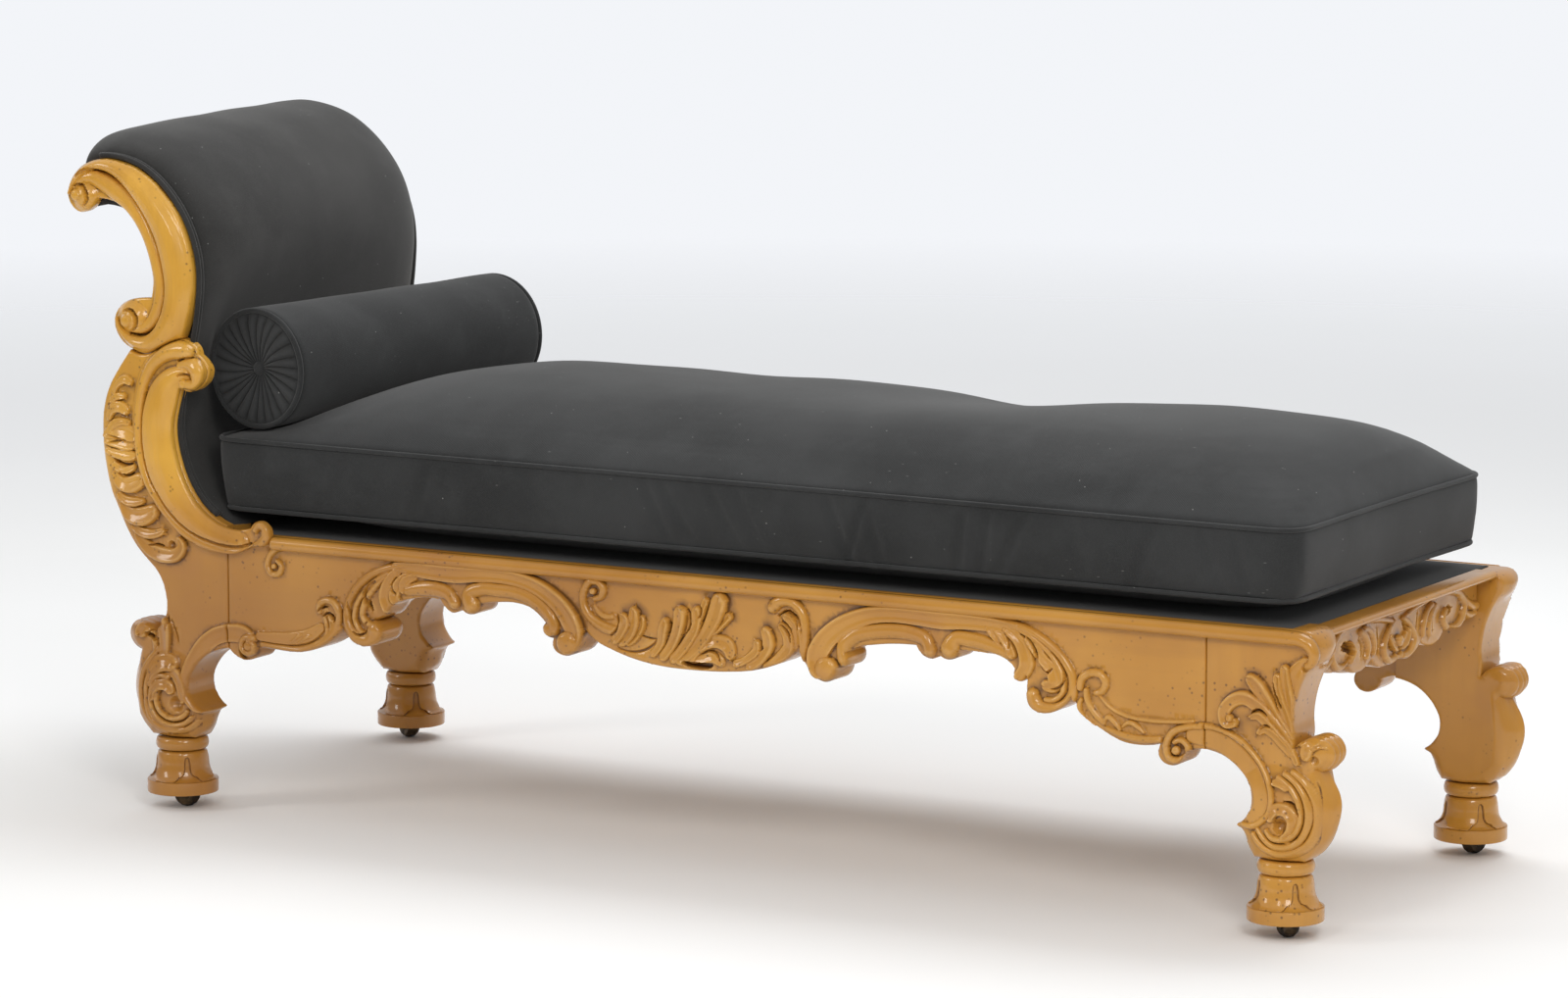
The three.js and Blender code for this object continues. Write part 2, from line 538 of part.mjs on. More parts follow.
function footMoulding() {
  const half = INNER_Y - FIT_GAP;
  const heights = [RAIL_TOP + FIT_GAP, DECK_TOP + FOOT_MOULDING_RISE];
  return sideBoard(noseSection(FOOT_MOULDING_IN, 1, FOOT_MOULDING_WIDTH, ...heights), -half, half);
}

function footRail() {
  const half = INNER_Y - FIT_GAP;
  const place = ([out, down]) => [out * half, RAIL_TOP - down * FOOT_RAIL_DEPTH];
  const right = FOOT_RAIL_EDGE_SHARES.map((run) => run.map(place));
  const left = reversed(right).map((run) => reversed(run).map(([y, z]) => [-y, z]));
  const runs = [...left, ...right, [[half, RAIL_TOP], [-half, RAIL_TOP]]];
  return longBar(smoothShape(runs), FOOT_FACE_X - FOOT_RAIL_THICK, FOOT_FACE_X);
}

function headRail() {
  const half = INNER_Y - FIT_GAP;
  const [middle] = headPoint(FRAME_LINE_SHARES[0]);
  const ends = [middle - HEAD_RAIL_THICK / 2, middle + HEAD_RAIL_THICK / 2];
  return block(...ends, -half, half, HEAD_BASE - HEAD_RAIL_DEPTH, HEAD_BASE);
}

// Turned foot: disc, bell, neck and ring, hollow below for the castor, with a spigot on top
function turnedFoot(end, side) {
  const discTop = FOOT_BASE + FOOT_DISC_HEIGHT;
  const bellTop = FOOT_RING_TOP - FOOT_RING_HEIGHT;
  const flare = FOOT_DISC_RADIUS - FOOT_NECK_RADIUS;
  const bell = BELL_SHARES.map(([out, up]) => [FOOT_NECK_RADIUS + out * flare, discTop + up * (bellTop - discTop)]);
  const ringMid = FOOT_RING_TOP - FOOT_RING_HEIGHT / 2;
  const ringSide = FOOT_RING_RADIUS - FOOT_RING_EASE;
  const recessTop = FOOT_BASE + RECESS_DEPTH;
  const profile = [
    [0, recessTop], [RECESS_RADIUS, recessTop], [RECESS_RADIUS, FOOT_BASE], [FOOT_DISC_RADIUS, FOOT_BASE],
    ...bell, [ringSide, bellTop], [FOOT_RING_RADIUS, ringMid], [ringSide, FOOT_RING_TOP],
    [SPIGOT_RADIUS, FOOT_RING_TOP], [SPIGOT_RADIUS, FOOT_RING_TOP + SPIGOT_LENGTH],
    [0, FOOT_RING_TOP + SPIGOT_LENGTH],
  ];
  const socket = STEM_RADIUS + STEM_CLEARANCE + STEM_SOCKET_WALL + FIT_GAP;
  const bore = turned([[0, 0], [socket, 0], [socket, recessTop + STEM_LENGTH], [0, recessTop + STEM_LENGTH]]);
  return cut(turned(profile), bore).translate(end * HALF_SPACING, side * LEG_Y, 0);
}

// Castor pieces, made about the swivel axis with the wheel trailing along +X
const CASTOR_PLATE_TOP = FOOT_BASE + RECESS_DEPTH - FIT_GAP;
const CASTOR_PLATE_LOW = CASTOR_PLATE_TOP - PLATE_THICK;
const CROWN_TOP = CASTOR_PLATE_LOW - FIT_GAP;
const FORK_INNER = WHEEL_WIDTH / 2 + SIDE_CLEARANCE;
const STEM_TOP = CASTOR_PLATE_TOP + STEM_LENGTH - STEM_END_GAP;

function castorPlate() {
  const inner = STEM_RADIUS + STEM_CLEARANCE;
  const outer = inner + STEM_SOCKET_WALL;
  return turned([
    [inner, CASTOR_PLATE_LOW], [PLATE_RADIUS, CASTOR_PLATE_LOW], [PLATE_RADIUS, CASTOR_PLATE_TOP],
    [outer, CASTOR_PLATE_TOP], [outer, STEM_TOP], [inner, STEM_TOP], [inner, CASTOR_PLATE_LOW],
  ]);
}

function castorFork() {
  const crownLow = CROWN_TOP - CROWN_THICK;
  const outer = FORK_INNER + CHEEK_THICK;
  const stem = turned([
    [0, crownLow], [outer, crownLow], [outer, CROWN_TOP], [STEM_RADIUS, CROWN_TOP],
    [STEM_RADIUS, STEM_TOP], [0, STEM_TOP],
  ]);
  const cheek = new THREE.Shape();
  const half = CHEEK_WIDTH / 2;
  cheek.moveTo(-outer + CHEEK_THICK, CROWN_TOP - CROWN_THICK / 2);
  cheek.lineTo(CASTOR_TRAIL - half, WHEEL_RADIUS);
  cheek.absarc(CASTOR_TRAIL, WHEEL_RADIUS, half, Math.PI, 2 * Math.PI);
  cheek.lineTo(outer - CHEEK_THICK, CROWN_TOP - CROWN_THICK / 2);
  const near = sideBoard(cheek, -outer, -FORK_INNER);
  const far = sideBoard(cheek, FORK_INNER, outer);
  const eye = axleRod(AXLE_RADIUS + AXLE_CLEARANCE, WHEEL_WIDTH * 2);
  return cut(join(stem, near, far), eye);
}

function axleRod(radius, length) {
  const rod = turned([[0, -length / 2], [radius, -length / 2], [radius, length / 2], [0, length / 2]], WHEEL_SIDES);
  return rod.rotateX(Math.PI / 2).translate(CASTOR_TRAIL, 0, WHEEL_RADIUS);
}

function castorAxle() {
  return axleRod(AXLE_RADIUS, 2 * (FORK_INNER + CHEEK_THICK));
}

function castorWheel() {
  const bore = AXLE_RADIUS + AXLE_CLEARANCE;
  const half = WHEEL_WIDTH / 2;
  const edge = WHEEL_RADIUS - TREAD_EASE;
  const wheel = turned([
    [bore, -half], [edge, -half], [WHEEL_RADIUS, -half / 2], [WHEEL_RADIUS, half / 2], [edge, half],
    [bore, half], [bore, -half],
  ], WHEEL_SIDES);
  return wheel.rotateX(Math.PI / 2).translate(CASTOR_TRAIL, 0, WHEEL_RADIUS);
}

// Deck: slats between the rails, a thin board on them and a flat stuffed pad up to the mouldings
const mirroredOutline = (half) => new THREE.Shape(
  [...half, ...reversed(half).map(([x, y]) => [x, -y])].map((point) => new THREE.Vector2(...point)),
);

const SHOULDER_X = SEAM_X - FIT_GAP;
const DECK_HEAD_X = headPoint(FRAME_LINE_SHARES[0])[0] + HEAD_RAIL_THICK / 2 + FIT_GAP;

function deckBoard() {
  const foot = FOOT_FACE_X - FOOT_RAIL_THICK - FIT_GAP;
  const wide = RAIL_INNER_Y - FIT_GAP;
  const narrow = INNER_Y - FIT_GAP;
  const half = [
    [DECK_HEAD_X, narrow], [-SHOULDER_X, narrow], [-SHOULDER_X, wide], [SHOULDER_X, wide], [SHOULDER_X, narrow],
    [foot, narrow],
  ];
  return flatSheet(mirroredOutline(half), RAIL_TOP - DECK_BOARD_THICK, RAIL_TOP);
}

function deckPad() {
  const narrow = INNER_Y - FIT_GAP;
  const wide = REBATE_Y - FIT_GAP;
  const foot = FOOT_MOULDING_IN - FIT_GAP;
  const half = [[DECK_HEAD_X, narrow], [-SHOULDER_X, narrow], [-SHOULDER_X, wide], [foot, wide]];
  return flatSheet(mirroredOutline(half), RAIL_TOP + FIT_GAP, DECK_TOP);
}

function deckSlat(index) {
  const middle = -SEAM_X + (2 * SEAM_X * (index + 1)) / (SLAT_COUNT + 1);
  const top = RAIL_TOP - DECK_BOARD_THICK - FIT_GAP;
  const half = RAIL_INNER_Y - FIT_GAP;
  return block(middle - SLAT_WIDTH / 2, middle + SLAT_WIDTH / 2, -half, half, top - SLAT_HEIGHT, top);
}

// Three-cornered glue block in the corner of a leg board and an end rail
function cornerBlock(end, side) {
  const face = end < 0 ? DECK_HEAD_X : FOOT_FACE_X - FOOT_RAIL_THICK - FIT_GAP;
  const wall = side * (INNER_Y - FIT_GAP);
  const points = [[face, wall], [face - end * BLOCK_LEG, wall], [face, wall - side * BLOCK_LEG]];
  const top = RAIL_TOP - DECK_BOARD_THICK - FIT_GAP;
  const shape = new THREE.Shape(points.map((point) => new THREE.Vector2(...point)));
  const low = end < 0 ? HEAD_BASE - HEAD_RAIL_DEPTH : top - BLOCK_HEIGHT;
  return flatSheet(shape, low, top);
}

// Headrest section: for each station the pad's face, the frame's middle and the unit way between them
const stations = PAD_FACE_SHARES.map((share, index) => {
  const [face, middle] = lifted([share, FRAME_LINE_SHARES[index]].map(headPoint), FIT_GAP);
  const way = new THREE.Vector2(face[0] - middle[0], face[1] - middle[1]).normalize();
  return { face: new THREE.Vector2(...face), middle: new THREE.Vector2(...middle), way };
});
const offFrame = (station, distance) => station.middle.clone().addScaledVector(station.way, distance);

function bandShape(from, to, near, far) {
  const picked = stations.slice(from, to + 1);
  const points = [...picked.map((s) => offFrame(s, near)), ...reversed(picked.map((s) => offFrame(s, far)))];
  return new THREE.Shape(points);
}

function headPost(side) {
  const shape = bandShape(0, stations.length - 1, -POST_DEPTH / 2, POST_DEPTH / 2);
  return leaned(sideBoard(shape, ...across(side, RIM_FRONT_Y - POST_THICK, RIM_FRONT_Y)));
}

function headCrossRail([from, to]) {
  const half = RIM_FRONT_Y - POST_THICK - FIT_GAP;
  const shape = bandShape(from, to, -POST_DEPTH / 2, POST_DEPTH / 2);
  return leaned(sideBoard(shape, -half, half));
}

function headBackCover() {
  const near = -POST_DEPTH / 2 - PAD_GAP;
  const shape = bandShape(0, LAP_STATION - 1, near - BACK_COVER_THICK, near);
  return leaned(sideBoard(shape, -RIM_FRONT_Y, RIM_FRONT_Y));
}

// Crown of the pad: none along its edges and at the deck, most at the top
function padCrown(station, y) {
  const height = (station.face.y - HEAD_BASE) / HEADREST_RISE;
  const climb = THREE.MathUtils.smoothstep(height, ...PAD_CLIMB);
  const [fall, power] = PAD_SPREAD;
  const spread = (1 - Math.abs(y / RIM_FRONT_Y) ** fall) ** power;
  return PAD_CROWN * climb * spread;
}

// The pad's section at one place across: face, rolled top end, lap under the roll, inner side
function padSection(y) {
  const half = POST_DEPTH / 2 + PAD_GAP;
  const wall = offFrame(stations.at(-1), half).distanceTo(stations.at(-1).face);
  const face = stations.map((s) => s.face.clone().addScaledVector(s.way, padCrown(s, y)));
  const end = stations.at(-1);
  const side = new THREE.Vector2(-end.way.y, end.way.x);
  const lap = half + BACK_COVER_THICK + PAD_LAP_DROP;
  const rollTop = face.at(-1).clone().sub(end.middle).dot(end.way);
  const roll = [];
  for (let step = 1; step <= PAD_ROLL_STEPS; step += 1) {
    const share = step / (PAD_ROLL_STEPS + 1);
    const bow = Math.sin(Math.PI * share);
    const height = THREE.MathUtils.lerp(rollTop, -lap, share) * (1 - PAD_ROLL_DROP * bow);
    const reach = (wall + half * PAD_ROLL_FULLNESS) * bow;
    roll.push(end.middle.clone().addScaledVector(side, reach).addScaledVector(end.way, height));
  }
  const tail = stations.slice(LAP_STATION);
  const under = reversed(tail).map((s) => offFrame(s, -lap));
  const upper = tail.map((s) => offFrame(s, -half));
  const clearance = end.middle.clone().addScaledVector(side, PAD_GAP);
  const inside = [clearance.clone().addScaledVector(end.way, -half), clearance.clone().addScaledVector(end.way, half)];
  const inner = reversed(stations).map((s) => offFrame(s, half));
  return [...face, ...roll, ...under, ...upper, ...inside, ...inner].map((p) => new THREE.Vector3(p.x, y, p.y));
}

function headPad() {
  const rings = [];
  for (let step = 0; step <= PAD_STATIONS; step += 1) {
    const share = Math.sin((Math.PI / 2) * (2 * (step / PAD_STATIONS) - 1));
    rings.push(padSection(share * RIM_FRONT_Y));
  }
  return leaned(lofted(rings, (p) => new THREE.Vector2(p.x, p.z)));
}

// Bolster: a lying cylinder with a rounded rim and dimpled ends, turned a little on the cushion
function bolsterShape(grow = 0) {
  const radius = BOLSTER_RADIUS + grow;
  const half = BOLSTER_LENGTH / 2 + grow;
  const dimple = grow > 0 ? 0 : BOLSTER_DIMPLE;
  const profile = [[0, dimple - half], [radius / 4, dimple / 2 - half]];
  for (const [inward, along] of BOLSTER_RIM) profile.push([radius - inward * BOLSTER_ROUND, along * BOLSTER_ROUND - half]);
  const whole = [...profile, ...reversed(profile).map(([r, z]) => [r, -z])];
  return placedOnCushion(turned(whole, BOLSTER_SIDES).rotateX(Math.PI / 2));
}

function placedOnCushion(geometry) {
  const x = -HALF_SPACING + BOLSTER_FROM_HEAD;
  return geometry.rotateZ(-THREE.MathUtils.degToRad(BOLSTER_TURN)).translate(x, 0, DECK_TOP + BOLSTER_AXIS_RISE);
}

function bolsterButton(side) {
  const seat = BOLSTER_LENGTH / 2 - BOLSTER_DIMPLE * BUTTON_SEAT_SHARE + FIT_GAP;
  const [edge, rise] = BUTTON_EDGE_SHARES;
  const profile = [[0, 0], [BUTTON_RADIUS, 0], [BUTTON_RADIUS * edge, BUTTON_THICK * rise], [0, BUTTON_THICK]];
  const button = turned(profile, WHEEL_SIDES).translate(0, 0, seat).rotateX(side < 0 ? Math.PI / 2 : -Math.PI / 2);
  return placedOnCushion(button);
}

// Seat cushion: crowned top, softer crown below, walls drawn in between the corners
function cushionSurface(u, v, top) {
  const low = -HALF_SPACING + CUSHION_HEAD_END;
  const high = HALF_SPACING + CUSHION_FOOT_END;
  const half = [(high - low) / 2, CUSHION_WIDTH / 2];
  const [atEnd, atSide] = [Math.abs(u) ** CUSHION_EDGE_POWER, Math.abs(v) ** CUSHION_EDGE_POWER];
  const corner = CUSHION_CORNER * CUSHION_CORNER_SHARE * atEnd * atSide;
  const draw = [CUSHION_DRAW * (1 - v ** 2) * atEnd, CUSHION_DRAW * (1 - u ** 2) * atSide];
  const slant = (u < 0 ? CUSHION_HEAD_SLANT : CUSHION_FOOT_SLANT) * (top ? 1 : 0) * Math.sign(u) * atEnd;
  const x = (low + high) / 2 + u * half[0] - Math.sign(u) * (corner + draw[0]) + slant;
  const y = v * half[1] - Math.sign(v) * (corner + draw[1]);
  const headClimb = Math.sin((Math.PI / 2) * Math.min((1 + u) / CUSHION_HEAD_CLIMB, 1));
  const footClimb = (1 - Math.max(u, 0) ** CUSHION_FOOT_FALL[0]) ** CUSHION_FOOT_FALL[1];
  const side = (1 - Math.abs(v) ** CUSHION_SIDE_FALL[0]) ** CUSHION_SIDE_FALL[1];
  const crown = headClimb * footClimb * side;
  const seam = DECK_TOP + CUSHION_SEAM_LIFT;
  const headRise = (CUSHION_HEAD_RISE * (1 - u)) / 2;
  if (top) return new THREE.Vector3(x, y, seam + CUSHION_WALL + headRise + CUSHION_CROWN * crown);
  return new THREE.Vector3(x, y, Math.max(DECK_TOP + FIT_GAP, seam - 2 * CUSHION_SEAM_LIFT * crown));
}

function seatCushion() {
  const positions = [];
  const faces = [];
  const index = new Map();
  const spread = (step, count) => Math.sin((Math.PI / 2) * ((2 * step) / count - 1));
  const vertex = (i, j, top) => {
    const key = `${i},${j},${top}`;
    if (!index.has(key)) {
      index.set(key, positions.length / 3);
      const u = spread(i, CUSHION_ROWS);
      const v = spread(j, CUSHION_COLUMNS);
      positions.push(...cushionSurface(u, v, top).toArray());
    }
    return index.get(key);
  };
  for (let i = 0; i < CUSHION_ROWS; i += 1) {
    for (let j = 0; j < CUSHION_COLUMNS; j += 1) {
      for (const top of [true, false]) {
        const [a, b] = [vertex(i, j, top), vertex(i + 1, j, top)];
        const [c, d] = [vertex(i + 1, j + 1, top), vertex(i, j + 1, top)];
        faces.push(...(top ? [a, b, c, a, c, d] : [a, c, b, a, d, c]));
      }
    }
  }
  const wall = (p, q) => {
    const [a, b, c, d] = [vertex(...p, false), vertex(...q, false), vertex(...q, true), vertex(...p, true)];
    faces.push(a, b, c, a, c, d);
  };
  for (let i = 0; i < CUSHION_ROWS; i += 1) {
    wall([i, 0], [i + 1, 0]);
    wall([i + 1, CUSHION_COLUMNS], [i, CUSHION_COLUMNS]);
  }
  for (let j = 0; j < CUSHION_COLUMNS; j += 1) {
    wall([CUSHION_ROWS, j], [CUSHION_ROWS, j + 1]);
    wall([0, j + 1], [0, j]);
  }
  const geometry = new THREE.BufferGeometry();
  geometry.setAttribute('position', new THREE.Float32BufferAttribute(positions, 3));
  geometry.setIndex(faces);
  return cut(facedOut(geometry), bolsterShape(BOLSTER_CLEARANCE));
}

for (const [sideName, side] of SIDES) {
  add(`head_leg_${sideName}`, headLeg(side), WOOD);
  add(`foot_leg_${sideName}`, footLeg(side), WOOD);
  add(`${sideName}_rail`, sideRail(side), WOOD);
  add(`${sideName}_moulding`, sideMoulding(side), WOOD);
  add(`upper_scroll_${sideName}`, upperScroll(side), WOOD);
  add(`lower_scroll_${sideName}`, lowerScroll(side), WOOD);
  add(`head_post_${sideName}`, headPost(side), INNER_WOOD);
  add(`bolster_button_${sideName}`, bolsterButton(side), FABRIC);
  for (const [endName, end] of ENDS) {
    const corner = `${sideName}_${endName}`;
    add(`turned_foot_${corner}`, turnedFoot(end, side), WOOD);
    add(`corner_block_${corner}`, cornerBlock(end, side), INNER_WOOD);
    const turn = THREE.MathUtils.degToRad(CASTOR_TURNS[corner]);
    const pieces = { plate: castorPlate(), fork: castorFork(), axle: castorAxle(), wheel: castorWheel() };
    for (const [piece, geometry] of Object.entries(pieces)) {
      const mesh = add(`castor_${piece}_${corner}`, geometry, BRONZE);
      mesh.rotation.z = turn;
      mesh.position.set(end * HALF_SPACING, side * LEG_Y, 0);
    }
  }
}
add('head_rail', headRail(), INNER_WOOD);
add('foot_rail', footRail(), WOOD);
add('foot_moulding', footMoulding(), WOOD);
for (let slat = 0; slat < SLAT_COUNT; slat += 1) add(`deck_slat_${slat + 1}`, deckSlat(slat), INNER_WOOD);
add('deck_board', deckBoard(), INNER_WOOD);
add('deck_pad', deckPad(), FABRIC);
add('head_mid_rail', headCrossRail(MID_RAIL_STATIONS), INNER_WOOD);
add('head_top_rail', headCrossRail(TOP_RAIL_STATIONS), INNER_WOOD);
add('head_pad', cut(headPad(), bolsterShape(BOLSTER_CLEARANCE)), FABRIC);
add('head_back_cover', headBackCover(), FABRIC);
add('seat_cushion', seatCushion(), FABRIC);
add('bolster', bolsterShape(), FABRIC);

// The origin lies under the middle of the couch's length
couch.updateMatrixWorld(true);
const extent = new THREE.Box3().setFromObject(couch, true);
couch.position.x = -(extent.min.x + extent.max.x) / 2;

export default couch;
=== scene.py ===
"""A carved fainting couch: honey wood frame on turned feet, charcoal upholstery, bronze castors.

Shapes are worked out in millimetres in the couch's own frame (x from midway between the legs, y from the
middle of its depth, z from the floor) and go into the meshes in metres in the row frame.
"""
from math import radians, pi

import bpy
import numpy as np
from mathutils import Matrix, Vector
from mathutils.geometry import delaunay_2d_cdt


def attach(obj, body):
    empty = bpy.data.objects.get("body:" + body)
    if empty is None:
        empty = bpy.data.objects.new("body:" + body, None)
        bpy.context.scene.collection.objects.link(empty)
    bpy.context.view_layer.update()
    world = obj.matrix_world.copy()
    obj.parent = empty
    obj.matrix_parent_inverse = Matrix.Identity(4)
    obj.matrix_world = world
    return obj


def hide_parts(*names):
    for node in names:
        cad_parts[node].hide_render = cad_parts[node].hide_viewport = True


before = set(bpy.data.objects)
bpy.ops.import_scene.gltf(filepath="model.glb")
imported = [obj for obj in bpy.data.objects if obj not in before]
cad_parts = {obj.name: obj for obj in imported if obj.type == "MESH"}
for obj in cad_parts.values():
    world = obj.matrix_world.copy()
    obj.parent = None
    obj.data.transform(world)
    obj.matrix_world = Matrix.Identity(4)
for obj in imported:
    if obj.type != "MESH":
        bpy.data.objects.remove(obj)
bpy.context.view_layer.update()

SHIFT = 70.805
SIDES = (("front", -1), ("back", 1))
ENDS = (("head", -1), ("foot", 1))

# Driving sizes, as in the frame
HALF_SPACING = 800.0
LEG_Y = 276.0
OUTER_Y = 305.0
INNER_Y = 247.0
RAIL_INNER_Y = 260.0
RAIL_TOP = 360.0
RAIL_DEPTH = 160.0
DECK_TOP = 370.0
HEAD_BASE = 380.0
HEADREST_REACH = 100.0
HEADREST_RISE = 500.0
HEAD_LEAN = 57.0
LEAN_EASE = 0.3
BELLY_HALF = 65.0
RING_TOP = 95.3
LEG_FOOT_SHARE = 0.2645
SEAM_X = 705.0
RIM_FRONT_Y = 286.7
RIM_TOP = {-1: 376.0, 1: 368.0}
RIM_TURN = 350.0
RIM_STEP = 362.0
RIM_INNER_Y = 291.0
SCROLL_INNER_Y = 287.0
GLUE_GAP = 0.3


# Camera, floor and light

def studio():
    """Camera at the photograph's angle, a pale floor and soft lamps; the room is brighter above and behind."""
    lens = bpy.data.cameras.new("camera")
    lens.lens, lens.sensor_width, lens.clip_end = 145.115, 36.0, 60.0
    camera = bpy.data.objects.new("camera", lens)
    camera.location = (4.000668, -7.000472, 1.647294)
    camera.rotation_euler = (radians(90 - 8.61), 0, radians(29.593))
    bpy.context.collection.objects.link(camera)
    bpy.context.scene.camera = camera
    for name, place, turn, wide, power, tint in (
            ("window", (3.2, -3.6, 3.0), (52, 0, 40), (1.4, 1.8), 84, (1.0, 0.975, 0.93)),
            ("front_card", (0.7, -3.7, 2.7), (58, 0, 18), (0.6, 1.4), 20, (1.0, 0.985, 0.96)),
            ("left_card", (-3.1, -2.8, 2.1), (70, 0, -48), (0.7, 1.4), 26, (1.0, 0.975, 0.93)),
            ("overhead", (0.1, 1.4, 3.1), (-24, 0, 0), (3.2, 1.6), 52, (0.98, 0.99, 1.0)),
            ("side_card", (-3.4, 0.6, 1.6), (78, 0, -98), (1.4, 1.6), 6, (1.0, 0.98, 0.95))):
        lamp = bpy.data.lights.new(name, "AREA")
        lamp.shape, lamp.size, lamp.size_y, lamp.energy, lamp.color = "RECTANGLE", wide[0], wide[1], power, tint
        holder = bpy.data.objects.new(name, lamp)
        holder.location = place
        holder.rotation_euler = [radians(a) for a in turn]
        bpy.context.collection.objects.link(holder)
    world = bpy.data.worlds.new("room")
    bpy.context.scene.world = world
    world.use_nodes = True
    tree = world.node_tree
    tree.nodes.clear()
    node, join = tree.nodes.new, tree.links.new
    out = node("ShaderNodeOutputWorld")
    seen = node("ShaderNodeBackground")
    seen.inputs["Color"].default_value = (0.895, 0.912, 0.945, 1)
    seen.inputs["Strength"].default_value = 1.0
    lit = node("ShaderNodeBackground")
    lit.inputs["Color"].default_value = (0.98, 0.99, 1.0, 1)
    way = node("ShaderNodeTexCoord")
    upwards = node("ShaderNodeVectorMath")
    upwards.operation = "DOT_PRODUCT"
    upwards.inputs[1].default_value = (0, 0.4, 0.9)
    share = node("ShaderNodeMapRange")
    for key, number in (("From Min", -0.4), ("From Max", 1.0), ("To Min", 0.2), ("To Max", 0.8)):
        share.inputs[key].default_value = number
    join(way.outputs["Generated"], upwards.inputs[0])
    join(upwards.outputs["Value"], share.inputs["Value"])
    join(share.outputs["Result"], lit.inputs["Strength"])
    either = node("ShaderNodeMixShader")
    ray = node("ShaderNodeLightPath")
    join(ray.outputs["Is Camera Ray"], either.inputs[0])
    join(lit.outputs[0], either.inputs[1])
    join(seen.outputs[0], either.inputs[2])
    join(either.outputs[0], out.inputs[0])
    ground = bpy.data.meshes.new("floor")
    reach = 12
    corners = [(-reach, -reach, 0), (reach, -reach, 0), (reach, reach, 0), (-reach, reach, 0)]
    ground.from_pydata(corners, [], [(0, 1, 2, 3)])
    floor = bpy.data.objects.new("floor", ground)
    bpy.context.collection.objects.link(floor)
    ground.materials.append(pale_floor())
    bpy.context.scene.view_settings.view_transform = "Standard"


# Finishes

class Finish:
    """A node material under construction, its patterns on Object coordinates."""

    def __init__(self, name):
        self.material = bpy.data.materials.new(name)
        self.material.use_nodes = True
        self.tree = self.material.node_tree
        self.tree.nodes.clear()
        self.out = self.add("ShaderNodeOutputMaterial")
        self.shader = self.add("ShaderNodeBsdfPrincipled")
        self.link(self.shader.outputs[0], self.out.inputs[0])
        self.place = self.add("ShaderNodeTexCoord").outputs["Object"]

    def add(self, kind, **settings):
        """A node with its settings."""
        node = self.tree.nodes.new(kind)
        for key, value in settings.items():
            setattr(node, key, value)
        return node

    def link(self, source, target):
        """Join two sockets."""
        self.tree.links.new(source, target)

    def stretched(self, scale):
        """Object coordinates stretched by three factors."""
        mapping = self.add("ShaderNodeMapping")
        mapping.inputs["Scale"].default_value = scale
        self.link(self.place, mapping.inputs["Vector"])
        return mapping.outputs[0]

    def noise(self, scale, detail=3.0, roughness=0.55, vector=None):
        """Cloudy noise, 0 to 1."""
        node = self.add("ShaderNodeTexNoise")
        node.inputs["Scale"].default_value = scale
        node.inputs["Detail"].default_value = detail
        node.inputs["Roughness"].default_value = roughness
        self.link(vector or self.place, node.inputs["Vector"])
        return node.outputs["Fac"]

    def spots(self, scale, vector=None):
        """Distance to the nearest of scattered dots."""
        node = self.add("ShaderNodeTexVoronoi")
        node.inputs["Scale"].default_value = scale
        self.link(vector or self.place, node.inputs["Vector"])
        return node.outputs["Distance"]

    def ranged(self, value, low, high, to_low=0.0, to_high=1.0):
        """The value's span from low to high laid onto to_low to to_high, and cut off beyond its ends."""
        node = self.add("ShaderNodeMapRange")
        for key, number in (("From Min", low), ("From Max", high), ("To Min", to_low), ("To Max", to_high)):
            node.inputs[key].default_value = number
        self.link(value, node.inputs["Value"])
        return node.outputs["Result"]

    def times(self, one, other):
        """A socket times another socket or a number."""
        node = self.add("ShaderNodeMath", operation="MULTIPLY")
        self.link(one, node.inputs[0])
        if isinstance(other, float):
            node.inputs[1].default_value = other
        else:
            self.link(other, node.inputs[1])
        return node.outputs[0]

    def mixed(self, factor, one, other):
        """Colour that goes from one to other as the factor goes from 0 to 1."""
        node = self.add("ShaderNodeMix", data_type="RGBA")
        self.link(factor, node.inputs["Factor"])
        for value, socket in ((one, node.inputs[6]), (other, node.inputs[7])):
            if isinstance(value, tuple):
                socket.default_value = (*value, 1)
            else:
                self.link(value, socket)
        return node.outputs[2]

    def bump(self, height, strength, distance):
        """Normals tipped by a height."""
        node = self.add("ShaderNodeBump")
        node.inputs["Strength"].default_value = strength
        node.inputs["Distance"].default_value = distance
        self.link(height, node.inputs["Height"])
        return node.outputs["Normal"]

    def set(self, **values):
        """Values of the shader's own sockets; an underscore stands for a space."""
        for key, value in values.items():
            self.shader.inputs[key.replace("_", " ")].default_value = value


